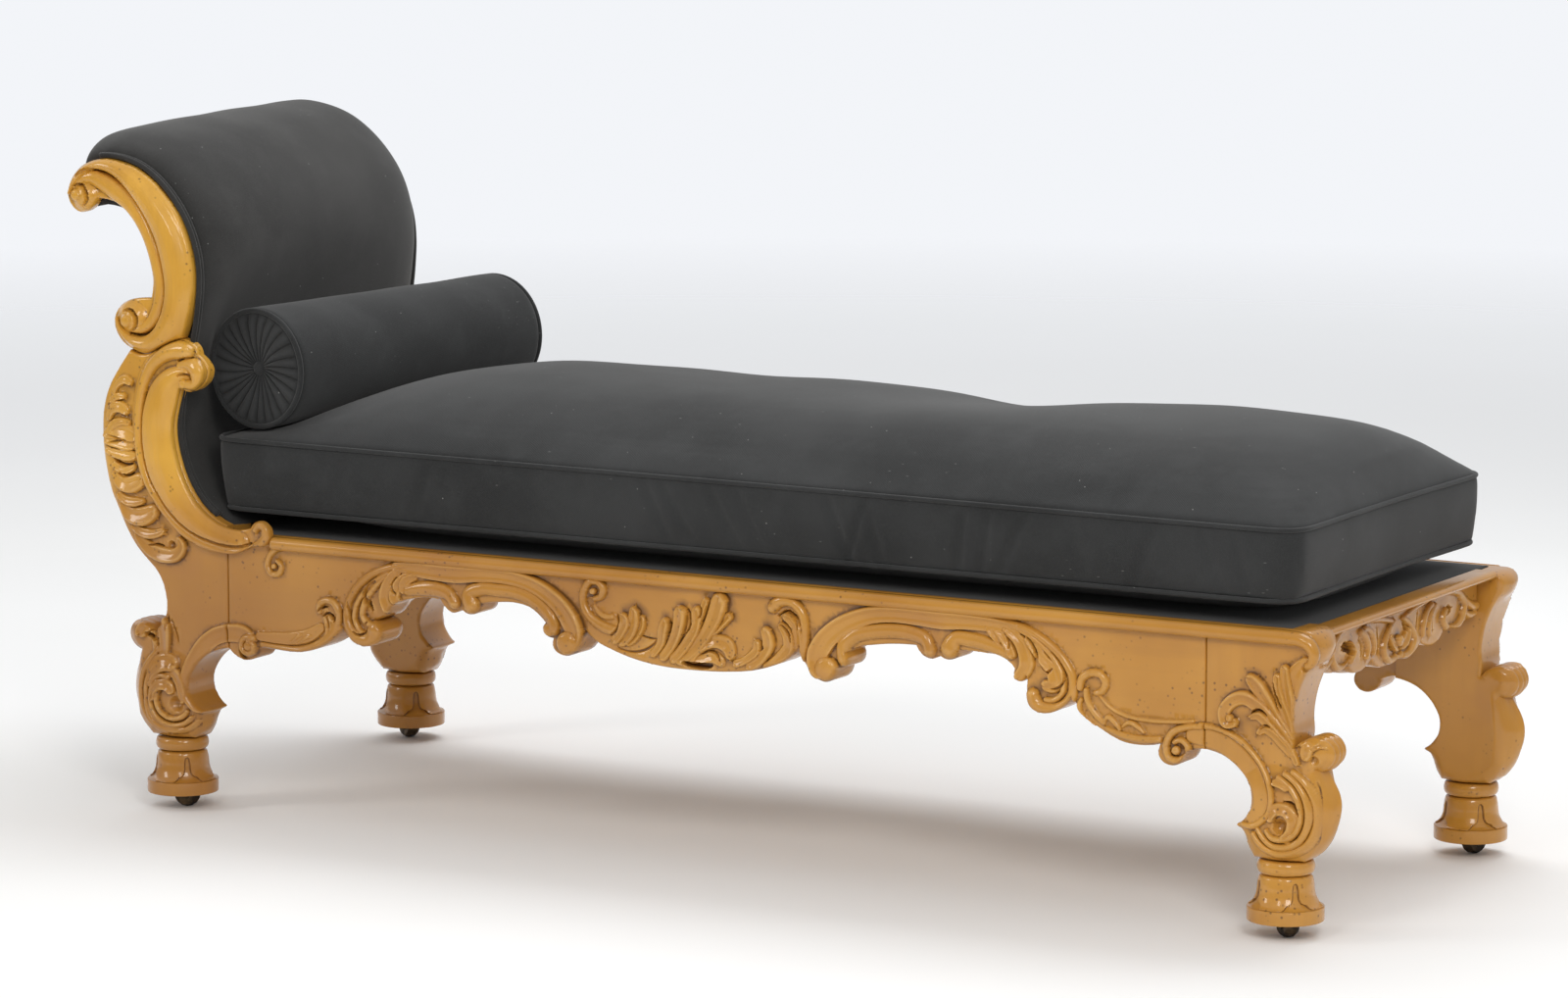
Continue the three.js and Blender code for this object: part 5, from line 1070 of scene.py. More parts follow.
FOOT_SEAM_RAISED = strokes(
    ("bead",
     [[715, 251, 4, 7], [700, 250, 4, 7], [680, 247, 4.5, 7], [662, 238, 5, 8], [655, 222, 5, 8], [660, 208, 5, 8],
      [672, 206, 5, 8], [683, 214, 5, 8], [684, 224, 4.5, 8], [675, 231, 4, 7], [666, 228, 3.5, 6]]),
    ("eye", [[668, 218, 6, 7]]),
    ("bead",
     [[700, 252, 3.5, 7], [725, 249, 3.5, 7], [748, 241, 4, 7], [768, 226, 4, 7], [783, 208, 4, 7],
      [793, 188, 4, 7], [796, 170, 4, 7], [793, 155, 4, 7], [783, 144, 4.5, 7], [770, 137, 4.5, 7],
      [757, 138, 3, 6]]),
    ("flat",
     [[690, 238, 10, 3], [705, 238, 12, 3], [728, 233, 13, 3], [748, 222, 13, 3], [764, 207, 12, 3],
      [776, 190, 11, 3], [782, 172, 11, 3], [780, 158, 10, 3], [770, 147, 8, 3]]))
FOOT_LEG_RAISED = strokes(
    ("leaf",
     [[818, 240, 5, 6], [795, 265, 6, 7], [775, 282, 7, 8], [757, 290, 7, 9], [741, 284, 6.5, 9], [732, 271, 6, 9],
      [736, 258, 5.5, 8], [744, 259, 4.5, 7]]),
    ("eye", [[739, 264, 5, 9]]),
    ("leaf",
     [[822, 242, 5, 6], [800, 270, 6, 7], [785, 292, 7, 8], [772, 308, 7.5, 9], [766, 313, 6, 8]],
     [[826, 244, 5, 6], [812, 275, 5.5, 7], [803, 300, 5.5, 8], [800, 318, 4.5, 7]],
     [[828, 245, 5, 6], [820, 280, 6, 8], [813, 310, 6.5, 9], [810, 328, 5.5, 8]],
     [[832, 245, 6, 6], [830, 275, 9, 7], [828, 300, 12, 8], [830, 322, 13, 9], [838, 332, 11, 9]],
     [[841, 262, 3, 5], [843, 280, 3.5, 6], [846, 298, 4, 7], [851, 308, 3, 6]],
     [[815, 235, 4, 5], [800, 250, 5, 7], [787, 262, 5, 7], [775, 270, 4.5, 7], [768, 268, 3, 6]],
     [[818, 228, 4, 5], [806, 240, 4.5, 6], [795, 250, 4.5, 7], [783, 254, 4, 6], [778, 250, 3, 5]],
     [[826, 218, 3.5, 5], [820, 230, 4, 6], [808, 243, 4, 6], [797, 248, 3, 5]],
     [[838, 228, 6, 6], [842, 240, 7, 8], [852, 247, 8, 9], [868, 247, 9, 9], [880, 240, 9, 8]]),
    ("bead",
     [[822, 206, 4, 5], [842, 190, 5, 6], [853, 165, 5.5, 6], [852, 140, 5.5, 6], [842, 120, 5.5, 6],
      [823, 108, 5.5, 6], [800, 106, 5, 6], [782, 114, 4.5, 6], [772, 127, 3.5, 5]],
     [[812, 203, 4, 5], [832, 188, 4.5, 6], [843, 165, 5, 7], [842, 142, 5, 7], [832, 124, 5, 7], [815, 115, 5, 7],
      [798, 115, 4.5, 7], [785, 124, 4, 6], [778, 134, 3, 5]],
     [[804, 198, 4, 5], [822, 185, 4.5, 6], [833, 165, 4.5, 7], [833, 145, 4.5, 8], [825, 131, 4.5, 8],
      [810, 124, 4.5, 8], [797, 125, 4, 7], [790, 133, 3, 6]]),
    ("leaf",
     [[800, 192, 3.5, 6], [808, 191, 4, 7], [815, 188, 4, 7]],
     [[795, 150, 5, 7], [803, 160, 6, 8], [815, 160, 6, 8], [825, 150, 6, 8], [824, 136, 6, 8], [815, 126, 5, 8]]))
FOOT_LEG_SUNK = strokes(
    ("dome", [[807, 139, 10, 9]]),
    ("bead", [[795, 310, 1.4, 4], [798, 298, 2.2, 8], [806, 283, 1.4, 4]]),
    ("dome", [[838, 333, 6, 5]]),
    ("bead",
     [[767, 272, 1.4, 3], [777, 277, 2.4, 7], [788, 272, 1.4, 3]],
     [[780, 255, 1.2, 3], [786, 259, 2, 6], [792, 258, 1.2, 3]],
     [[848, 236, 1.4, 3], [855, 240, 2.4, 6], [864, 239, 1.4, 3]]),
    ("dome", [[848, 222, 6, 5]]),
    ("bead",
     [[862, 255, 1, 3], [865, 248, 1.5, 3]],
     [[870, 255, 1, 3], [872, 247, 1.5, 3]],
     [[878, 252, 1, 3], [878, 244, 1.5, 3]],
     [[812, 170, 1.4, 3], [824, 167, 2.4, 7], [832, 156, 1.4, 3]],
     [[850, 195, 1.2, 3], [857, 180, 1.8, 5], [862, 170, 1.2, 3]]))
# Foot rail, half of it: x here is the distance from the middle of the couch's width.
FOOT_RAIL_RAISED = strokes(
    ("bead",
     [[20, 345, 3.5, 4], [52, 352, 4.5, 5], [110, 358, 5, 6], [150, 358, 5.5, 6], [183, 350, 6, 7],
      [198, 335, 6, 7], [190, 318, 6, 7], [165, 309, 5.5, 7], [143, 314, 5.5, 7], [132, 326, 5, 7],
      [141, 335, 4, 6]],
     [[110, 345, 5, 5], [96, 335, 6, 6], [90, 322, 6, 6], [94, 312, 5, 5]],
     [[100, 348, 4, 5], [80, 338, 5, 6], [73, 325, 5, 6], [74, 314, 4, 5]],
     [[14, 344, 3.5, 5], [34, 332, 5, 6], [46, 314, 5.5, 7], [34, 300, 5.5, 7], [14, 297, 4.5, 6]]),
    ("leaf", [[8, 310, 4, 5], [20, 318, 5, 7], [26, 326, 4, 6]]),
    ("bead",
     [[204, 340, 4, 4], [220, 330, 6, 6], [238, 326, 6, 6]],
     [[200, 324, 4, 5], [215, 318, 5, 6], [232, 318, 5, 6]]))
FOOT_RAIL_CENTRE = strokes(
    ("eye", [[0, 318, 8, 8]]),
    ("bead", [[-9, 300, 4, 5], [0, 296, 5, 6], [9, 300, 4, 5]]))
FOOT_RAIL_SUNK = strokes(
    ("flat", [[140, 326, 5, 9], [149, 332, 6, 12], [158, 333, 5, 9]]),
    ("bead",
     [[16, 337, 2.5, 8], [20, 333, 3, 10], [23, 328, 2.5, 8]],
     [[112, 336, 1.5, 5], [106, 326, 2.2, 8], [106, 314, 1.5, 5]],
     [[60, 340, 1.5, 5], [58, 328, 2.2, 8], [56, 316, 1.5, 5]]))


def leg_outline(end, rim):
    """Closed outline of a leg board: seam, arch, inner belly, outer belly, knob, waist, and for the head end the
    headrest's edge."""
    arch = leg_points(end, ARCH_SHARES)[::-1]
    seam = [end * SEAM_X, leg_points(end, [[0, SEAM_FOOT_SHARE]])[0][1]]
    runs = [np.vstack([seam, arch]), leg_points(end, INNER_BELLY_SHARES)[::-1]]
    outer = leg_points(end, OUTER_BELLY_SHARES)
    runs += [np.vstack([runs[-1][-1], outer[0]]), outer, leg_points(end, KNOB_SHARES)]
    if end > 0:
        nose_back = [leg_points(1, [[0.5, 1]])[0][0], rim]
        runs += [np.vstack([leg_points(1, FOOT_WAIST_SHARES), nose_back]), np.array([nose_back, [SEAM_X, rim]]),
                 np.array([[SEAM_X, rim], seam])]
        return outline(runs)
    front = head_points(FRONT_EDGE_SHARES)
    seam_top = [-SEAM_X, front[-1][1]]
    runs += [leg_points(-1, HEAD_WAIST_SHARES), np.vstack([leg_points(-1, HEAD_WAIST_SHARES)[-1],
                                                            head_points(BACK_EDGE_SHARES)[0]]),
             head_points(BACK_EDGE_SHARES), head_points(SCROLL_SEAT_SHARES), head_points(BLOB_SHARES),
             head_points(INNER_KNOB_SHARES), np.vstack([front[:-1], seam_top]), np.array([seam_top, seam])]
    return outline(runs)


def lowered(points):
    """The back's rim is lower: heights above RIM_TURN are drawn in there, the front's rim height to the back's."""
    moved = points.copy()
    high = (moved[:, 2] > RIM_TURN) & (moved[:, 1] > 0)
    moved[high, 2] = RIM_TURN + (moved[high, 2] - RIM_TURN) * (RIM_TOP[1] - RIM_TURN) / (RIM_TOP[-1] - RIM_TURN)
    return moved


def belly_swell(end):
    """How far a leg's side swells out at each spot, in mm, as bell curves exp(-d^2): round at the belly, lower
    under the arch and at the foot end's nose, ribbed at the knob, and a ridge down the belly's outer side."""
    def amount(spots):
        out, z = end * spots[:, 0] - HALF_SPACING, spots[:, 1]
        outer = 12.5 * np.exp(-((z - 158) / 42) ** 2) * ramp(out, 20)
        inner = 4 * np.exp(-((z - 116) / 17) ** 2) * ramp(-out, 20) * ramp(138 - z, 6)
        nose = 5 * np.exp(-(((out - 48) ** 2 + (z - 352) ** 2) / 22 ** 2)) * (end > 0)
        ribbed = 9 * np.exp(-(((out - 56) ** 2 + (z - 228) ** 2) / 19 ** 2))
        ridge = 4 * np.exp(-((z - 178) / 26) ** 2) * ramp(out, 20)
        return (outer + inner) * ramp(z - 97, 10) + nose, ribbed, ridge
    return amount


def stepped(level, above, below, reach=np.inf):
    """A board's inner face: at distance below, but at distance above past the level, as far along as reach."""
    return lambda spots: np.where((spots[:, 1] > level) & (spots[:, 0] < reach), above, below)


def carved_frame(long_grain, upright_grain):
    """Legs, rails and scrolls with their relief."""
    head = carved_board(leg_outline(-1, 0), stepped(HEAD_BASE, SCROLL_INNER_Y, INNER_Y), OUTER_Y, BELLY_DOMES[-1],
                        HEAD_SEAM_RAISED + HEAD_LEG_RAISED + HEAD_LOBES_RAISED, HEAD_LEG_SUNK + HEAD_LOBES_SUNK,
                        patches=((-905, 470, 70, 11), (-880, 390, 40, 9), (-872, 160, 55, 16), (-836, 108, 24, 18),
                                 (-764, 108, 22, 18)), swell=belly_swell(-1))
    carved_pair("head_leg_{}", head, upright_grain, leaned)
    rim = RIM_TOP[-1]
    foot = carved_board(leg_outline(1, rim), stepped(RIM_STEP, RIM_INNER_Y, INNER_Y, 814), OUTER_Y,
                        BELLY_DOMES[1], FOOT_SEAM_RAISED + FOOT_LEG_RAISED, FOOT_LEG_SUNK,
                        patches=((856, 345, 26, 11), (872, 160, 55, 16), (836, 108, 24, 18), (764, 108, 22, 18)),
                        swell=belly_swell(1))
    carved_pair("foot_leg_{}", foot, upright_grain, lowered)
    half = SEAM_X - GLUE_GAP
    edge = [rail_points(run) for run in RAIL_EDGE_SHARES]
    edge[0][0][0], edge[-1][-1][0] = -half, half
    runs = edge + [np.array([edge[-1][-1], [half, rim]]), np.array([[half, rim], [-half, rim]]),
                   np.array([[-half, rim], edge[0][0]])]
    rail = carved_board(outline(runs), stepped(RIM_STEP, RIM_INNER_Y, RAIL_INNER_Y), OUTER_Y, (),
                        HEAD_SEAM_RAISED + RAIL_LEFT_RAISED + ARCH_ONE_RAISED + CENTRE_RAISED + ARCH_TWO_RAISED
                        + RAIL_RIGHT_RAISED + FOOT_SEAM_RAISED,
                        HEAD_LEG_SUNK + RAIL_LEFT_SUNK + ARCH_ONE_SUNK + CENTRE_SUNK + ARCH_TWO_SUNK)
    carved_pair("{}_rail", rail, long_grain, lowered)
    seat = head_points(SCROLL_SEAT_SHARES) + (0, GLUE_GAP)
    outer = head_points(UPPER_OUTER_SHARES)
    outer[0] = seat[-1]
    inner = head_points(UPPER_INNER_SHARES)
    volute = head_points(UPPER_VOLUTE_SHARES)
    volute[-1] = seat[0]
    upper = carved_board(outline([seat, outer, inner, volute]), SCROLL_INNER_Y, 298.5, (), UPPER_SCROLL_RAISED,
                         UPPER_SCROLL_SUNK, radius=3.0)
    carved_pair("upper_scroll_{}", upper, upright_grain, leaned)
    blob, knob = head_points(BLOB_SHARES), head_points(INNER_KNOB_SHARES)
    seat = head_points(SCROLL_SEAT_SHARES[3:]) - (0, GLUE_GAP)
    blob[0] = seat[-1]
    spine = head_points(LOWER_SCROLL_BACK_SHARES)
    runs = [spine, head_points(TAIL_VOLUTE_SHARES), head_points(TAIL_TOP_SHARES),
            head_points(FRONT_EDGE_SHARES)[::-1], knob[::-1], blob[::-1], seat[::-1], np.array([seat[0], spine[0]])]
    lower = carved_board(outline(runs), OUTER_Y + GLUE_GAP, 309.5, (), LOWER_SCROLL_RAISED, LOWER_SCROLL_SUNK,
                         radius=3.0)
    carved_pair("lower_scroll_{}", lower, upright_grain, leaned)


# Mouldings, end rail and feet

def bead_moulding(name, side, path, finish, node):
    """A half-round bead carried along a path of [x, z, half width, proud]: a flat back at the board's face and
    proud * sin(a) ** 0.7 out over the half turn a, half width * cos(a) across."""
    path = smooth_line(path, 3.0)
    left = course(path)[1]
    angle = np.linspace(0, pi, 15)
    across = np.r_[np.cos(angle), np.linspace(-0.7, 0.7, 5)]
    out = np.r_[np.sin(angle) ** 0.7, np.zeros(5)]
    rings = np.stack([path[:, :1] + path[:, 2:3] * across * left[:, :1],
                      side * (OUTER_Y + GLUE_GAP + path[:, 3:4] * out),
                      path[:, 1:2] + path[:, 2:3] * across * left[:, 1:]], -1)
    piece(name, rings.reshape(-1, 3), grid_faces(len(path), len(across)), finish, stands_for=(node,),
          flip=side > 0, caps=end_caps(len(path), len(across)))


def mouldings(finish):
    """The beads along the sides, of which the front one turns down round the nose of the leg into a small curl,
    and the rounded bead across the foot end: a half ellipse whose flat side is carried across the couch."""
    start = head_points(TAIL_VOLUTE_SHARES)[3][0] + 1.5
    for name, side in SIDES:
        level = RIM_TOP[side] - 9
        path = [[start, level, 9, 13], [-300, level, 9, 13], [100, level, 9, 13], [500, level, 9, 13],
                [780, level, 9, 13], [818, level, 9, 12]]
        if side < 0:
            path[-1:] = [[815, level, 9, 13], [832, level - 1, 8.5, 12.5], [843, level - 7, 8, 12],
                         [848, level - 18, 7, 11], [845, level - 28, 6, 10], [838, level - 32, 5, 9]]
        bead_moulding(f"{name}_bead", side, path, finish, f"{name}_moulding")
    bottom, top, reach, nose = 360.3, 371.0, 844.0, 10.0
    turn = np.linspace(-pi / 2, pi / 2, 13)
    middle, half = (bottom + top) / 2, (top - bottom) / 2
    section = np.vstack([[814.3, bottom], np.c_[reach - nose + nose * np.cos(turn), middle + half * np.sin(turn)],
                         [814.3, top]])
    y = np.linspace(-INNER_Y + GLUE_GAP, INNER_Y - GLUE_GAP, 40)
    rings = np.stack(np.broadcast_arrays(section[:, 0], y[:, None], section[:, 1]), -1)
    sharpened(piece("foot_bead", rings.reshape(-1, 3), grid_faces(*rings.shape[:2]), finish,
                    stands_for=("foot_moulding",), flip=True, caps=end_caps(*rings.shape[:2])))


def carved_end_rail(finish):
    """The open end's rail: a carved board across the couch, its right half mirrored to the left."""
    half = INNER_Y - GLUE_GAP
    right = [np.asarray(run) * (half, -69.0) + (0, RAIL_TOP) for run in FOOT_RAIL_EDGE_SHARES]
    left = [run[::-1] * (-1, 1) for run in right[::-1]]
    corner = np.array([[half, RAIL_TOP], [-half, RAIL_TOP]])
    edge = outline(left + right + [np.array([right[-1][-1], corner[0]]), corner,
                                   np.array([corner[1], left[0][0]])])

    def doubled(strokes):
        """Strokes and their mirror images."""
        mirrored = [(kind, [[-x, z, w, h] for x, z, w, h in path[::-1]]) for kind, path in strokes]
        return strokes + mirrored
    points, faces, painted_shading = carved_board(edge, 788.0, 817.0, (), doubled(FOOT_RAIL_RAISED) + FOOT_RAIL_CENTRE,
                                       doubled(FOOT_RAIL_SUNK))
    sharpened(piece("carved_foot_rail", points[:, [1, 0, 2]], faces, finish, stands_for=("foot_rail",),
                    painted_shading=painted_shading), 52)


# Half the gap between two petals of a foot: heights, and its widths there along the round
PETAL_GAP = ([37.5, 38.5, 40, 42, 44.3, 45, 46.5, 50, 54.5, 62, 67, 69.5, 70.2],
             [26, 19, 15.5, 13, 10.8, 8, 5.4, 3.9, 3.3, 2.9, 2.2, 0.6, -1.5])


def turned_foot(finish, end, side, name):
    """Turned foot with four petals: radius of the turned profile, plus 2.8 mm where the point lies further from
    the middle of the gap between two petals, along the round, than the gap's half width at that height. The gaps'
    edges get painted shade."""
    columns = 240
    outer = smooth_line([[46.6, 38.0], [41.5, 39.3], [37.6, 42], [35, 46.5], [33.2, 52], [32.2, 58], [31.6, 64],
                         [30.6, 70], [28.8, 75], [26.4, 77.3]], 0.5)
    turn = np.linspace(-pi / 2, pi / 2, 12)
    ring = np.c_[30.6 + 4.2 * np.cos(turn), 86.4 + 8.2 * np.sin(turn)]
    quarter = np.linspace(0, pi / 2, 5)
    low = np.c_[45.6 + 1.2 * np.sin(quarter), 21.8 - 1.2 * np.cos(quarter)]
    high = np.c_[45.6 + 1.2 * np.cos(quarter), 36.6 + 1.2 * np.sin(quarter)]
    profile = np.vstack([[7.7, 73], [7.7, 48.5], [27, 48.5], [27, 20.6], low, [46.8, 26], [46.8, 32],
                         high, outer[1:], ring, [20, 95.1]])
    rings, angle = turned_grid(profile, columns)
    z = profile[:, 1:]
    from_gap = profile[:, :1] * (pi / 4 - np.abs((angle + pi / 4) % (pi / 2) - pi / 4))[None]
    from_edge = from_gap - np.interp(z, *PETAL_GAP)
    petal = soft_ramp(from_edge, 1.1) * ramp(z - 38, 1.5) * ramp(77.6 - z, 3) ** 0.5
    on_bell = (z > 38.4) & (z < 77.6) & (profile[:, :1] > 27.2)
    full = 1 + ramp(52 - z, 26) * 0.8
    rings[..., :2] *= (1 + on_bell * 2.8 * full * petal / np.maximum(profile[:, :1], 1))[..., None]
    # Painted shade along the gaps between the petals.
    petal_gap_shade = np.clip(1 - np.abs(from_edge) / 1.6, 0, 1) * on_bell * (z < 72)
    made = piece("foot_" + name, rings.reshape(-1, 3) + (end * HALF_SPACING, side * LEG_Y, 0),
                 grid_faces(len(profile), columns), finish, stands_for=("turned_foot_" + name,),
                 painted_shading=-0.95 * petal_gap_shade.ravel(), caps=end_caps(len(profile), columns))
    sharpened(made, 48)


# Upholstery

# The bolster's radius, half length, axis place and turn in degrees
BOLSTER = {"radius": 79.0, "half": 249.0, "x": -666.0, "z": 583.5, "turn": -7.0}


def along_bolster(points):
    """Put points made about the y axis onto the bolster's turned axis."""
    turn = radians(BOLSTER["turn"])
    x, y = points[:, 0], points[:, 1]
    return np.c_[x * np.cos(turn) - y * np.sin(turn) + BOLSTER["x"], x * np.sin(turn) + y * np.cos(turn),
                 points[:, 2] + BOLSTER["z"]]


def pressed_by_bolster(points, clearance=1.2):
    """Points inside the bolster move straight away from its axis onto its surface plus the clearance; just
    outside it they ease over."""
    turn = radians(BOLSTER["turn"])
    moved = points.copy()
    x, y = points[:, 0] - BOLSTER["x"], points[:, 1]
    across = x * np.cos(turn) + y * np.sin(turn)
    along = -x * np.sin(turn) + y * np.cos(turn)
    up = points[:, 2] - BOLSTER["z"]
    gap = np.hypot(across, up)
    limit = BOLSTER["radius"] + clearance
    ease = 6.0
    pushed = np.where(gap < limit - ease, limit, limit + np.maximum(gap - limit + ease, 0) ** 2 / (4 * ease))
    near = (gap < limit + ease) & (np.abs(along) < BOLSTER["half"] + 3)
    fade = ramp(BOLSTER["half"] + 3 - np.abs(along), 5)
    scale = np.where(near, 1 + (pushed / np.maximum(gap, 1) - 1) * fade, 1)
    across, up = across * scale, up * scale
    moved[:, 0] = across * np.cos(turn) - along * np.sin(turn) + BOLSTER["x"]
    moved[:, 1] = across * np.sin(turn) + along * np.cos(turn)
    moved[:, 2] = up + BOLSTER["z"]
    return moved


def waves(points, seeds):
    """Gentle unevenness: a sum of sine waves, each given as [x count, y count, z count, phase, height]."""
    total = np.zeros(len(points))
    for x, y, z, phase, height in seeds:
        total += height * np.sin(2 * pi * (points @ (x, y, z)) / 1000 + phase)
    return total


PAD_FACE_SHARES = [
    [-0.94, 0], [-0.72, 0.032], [-0.55, 0.058], [-0.36, 0.106], [-0.24, 0.156], [-0.16, 0.214], [-0.14, 0.27],
    [-0.18, 0.33], [-0.25, 0.39], [-0.33, 0.45], [-0.4, 0.51], [-0.45, 0.57], [-0.48, 0.63], [-0.47, 0.686],
    [-0.4, 0.744], [-0.27, 0.8], [-0.09, 0.85], [0.14, 0.894], [0.42, 0.928], [0.72, 0.944], [1.02, 0.945],
    [1.3, 0.92]]
FRAME_LINE_SHARES = [
    [0.12, 0], [0.15, 0.04], [0.19, 0.08], [0.24, 0.126], [0.29, 0.172], [0.32, 0.224], [0.32, 0.274],
    [0.28, 0.326], [0.2, 0.38], [0.11, 0.44], [0.02, 0.502], [-0.06, 0.564], [-0.1, 0.628], [-0.09, 0.684],
    [-0.03, 0.734], [0.07, 0.778], [0.22, 0.816], [0.41, 0.846], [0.62, 0.866], [0.84, 0.876], [1.02, 0.879],
    [1.22, 0.87]]


PAD_HALF = 16.5
COVER_STATIONS = 17
FACE_POINTS = 190


def pad_stations():
    """Face, frame line and unit way between them at each station of the headrest's section."""
    face, line = head_points(PAD_FACE_SHARES) + (0, 0.3), head_points(FRAME_LINE_SHARES) + (0, 0.3)
    way = face - line
    return face, line, way / np.linalg.norm(way, axis=1)[:, None]


def pad_section(y):
    """Closed section of the headrest's pad at one place across: face, rolled end, lap, inside. Two soft ramps over
    the height swell the face, each times (1 - e^n) ** 0.5 or so, where e is 0 in the middle and 1 at the edge."""
    face, line, way = pad_stations()
    half = PAD_HALF
    wall = np.linalg.norm(line[-1] + half * way[-1] - face[-1])
    edge = min(abs(y) / RIM_FRONT_Y, 1)
    rise = (face[:, 1] - HEAD_BASE) / HEADREST_RISE
    crown = 35 * soft_ramp(rise - 0.46, 0.38) * (1 - edge ** (5 if y < 0 else 11)) ** 0.55
    crown += (12 * soft_ramp(rise - 0.34, 0.12) * (1 - soft_ramp(rise - 0.5, 0.25)) * (1 - edge ** 14) ** 0.5
              * ramp(y + 80, 300))
    front = face + crown[:, None] * way
    side = np.array([-way[-1][1], way[-1][0]])
    lap = half + 12
    share = np.arange(1, 7) / 7
    reach = (wall + 0.35 * half) * np.sin(pi * share)
    top = (front[-1] - line[-1]) @ way[-1]
    height = (top + (-lap - top) * share) * (1 - 0.12 * np.sin(pi * share))
    roll = line[-1] + reach[:, None] * side + height[:, None] * way[-1]
    under = (line - lap * way)[COVER_STATIONS:][::-1]
    upper = (line - half * way)[COVER_STATIONS:]
    tip = line[-1] + 0.5 * side
    inside = np.vstack([tip - half * way[-1], tip + half * way[-1]])
    inner = (line + half * way)[::-1]
    runs = [np.vstack([front, roll, under[:1]]), under, np.vstack([under[-1], upper[0]]), upper,
            np.vstack([upper[-1], inside[0]]), inside, np.vstack([inside[1], inner[0]]), inner,
            np.vstack([inner[-1], front[0]])]
    counts = (FACE_POINTS, 16, 3, 16, 3, 8, 3, 60, 12)
    return np.vstack([smooth_line_count(run, count) for run, count in zip(runs, counts)])


def smooth_line_count(points, count):
    """A smooth line sampled at an even number of places, without its last point."""
    length = np.sqrt((np.diff(points, axis=0) ** 2).sum(1)).sum()
    line = smooth_line(points, length / (count * 3))
    pick = np.linspace(0, len(line) - 1, count + 1)[:-1]
    return np.stack([np.interp(pick, np.arange(len(line)), column) for column in line.T], -1)


def headrest_pad(cloth):
    """The stuffed headrest: its section carried across the couch, leaned, and pressed by the bolster."""
    rings = []
    for y in RIM_FRONT_Y * np.sin(pi / 2 * np.linspace(-1, 1, 91)):
        section = pad_section(y)
        rings.append(np.c_[section[:, 0], np.full(len(section), y), section[:, 1]])
    rows, columns = len(rings), len(section)
    points = np.vstack(rings)
    soft = ramp(points[:, 2] - 560, 160) * ramp(RIM_FRONT_Y - 12 - np.abs(points[:, 1]), 40)
    face = np.tile(np.arange(columns) < FACE_POINTS, rows)
    rough = waves(points, ((2.1, 3.3, 1.2, 0.4, 0.7), (4.7, -2.2, 3.1, 1.9, 0.6), (-3.4, 6.1, 2.2, 4.4, 0.5)))
    points[:, 2] += face * soft * rough
    points = pressed_by_bolster(leaned(points))
    made = piece("headrest_pad", points, grid_faces(rows, columns), cloth,
                 stands_for=("head_pad",), flip=True, caps=end_caps(rows, columns))
    sharpened(made, 60)
    face, _, way = pad_stations()
    for name, side in SIDES:
        line = smooth_line(face[1:-1] + 3.7 * way[1:-1], 4)
        for row, y in (("inner", 290.2), ("outer", 296.6))[:1 if side > 0 else 2]:
            path = leaned(np.c_[line[:, 0], np.full(len(line), side * y), line[:, 1]])
            points, faces, caps = tube(path, 3.4, 12)
            piece(f"welt_{row}_{name}", points, faces, cloth, caps=caps)


def back_cover(cloth):
    """The cover behind the headrest: a thin skin over the frame line whose outer side sags in between the posts
    by 2.2 (1 - y^2) sin(pi t), y across and t up the cover."""
    _, line, way = pad_stations()
    thick, count = 6.0, 90
    near, far = (smooth_line_count((line - depth * way)[:COVER_STATIONS], count)
                 for depth in (PAD_HALF, PAD_HALF + thick))
    rings = []
    for y in np.linspace(-RIM_FRONT_Y, RIM_FRONT_Y, 61):
        sag = 2.2 * (1 - (y / RIM_FRONT_Y) ** 2)
        pull = np.sin(pi * np.linspace(0, 1, count))[:, None] * sag
        section = np.vstack([near, (far + (near - far) / thick * pull)[::-1]])
        rings.append(np.c_[section[:, 0], np.full(len(section), y), section[:, 1]])
    made = piece("headrest_back", leaned(np.vstack(rings)), grid_faces(len(rings), 2 * count), cloth,
                 stands_for=("head_back_cover",), flip=True, caps=end_caps(len(rings), 2 * count))
    sharpened(made, 60)


def deck_upholstery(cloth):
    """The thin stuffed deck under the cushion, with a soft edge."""
    head, shoulder, foot, wide, narrow = -765.7, -704.7, 813.7, 290.7, 246.7
    half = [[head, narrow], [shoulder, narrow], [shoulder, wide], [foot, wide]]
    corner = half + [[x, -y] for x, y in half[::-1]]
    edge = outline([np.array([a, b]) for a, b in zip(corner, corner[1:] + corner[:1])], 5)[::-1]
    points, faces, _ = carved_board(edge, 360.3, 369.9, radius=5.0, back_radius=1.0, spacing=3.0, coarse=14)
    made = piece("deck_cover", points[:, [0, 2, 1]], faces, cloth, stands_for=("deck_pad",))


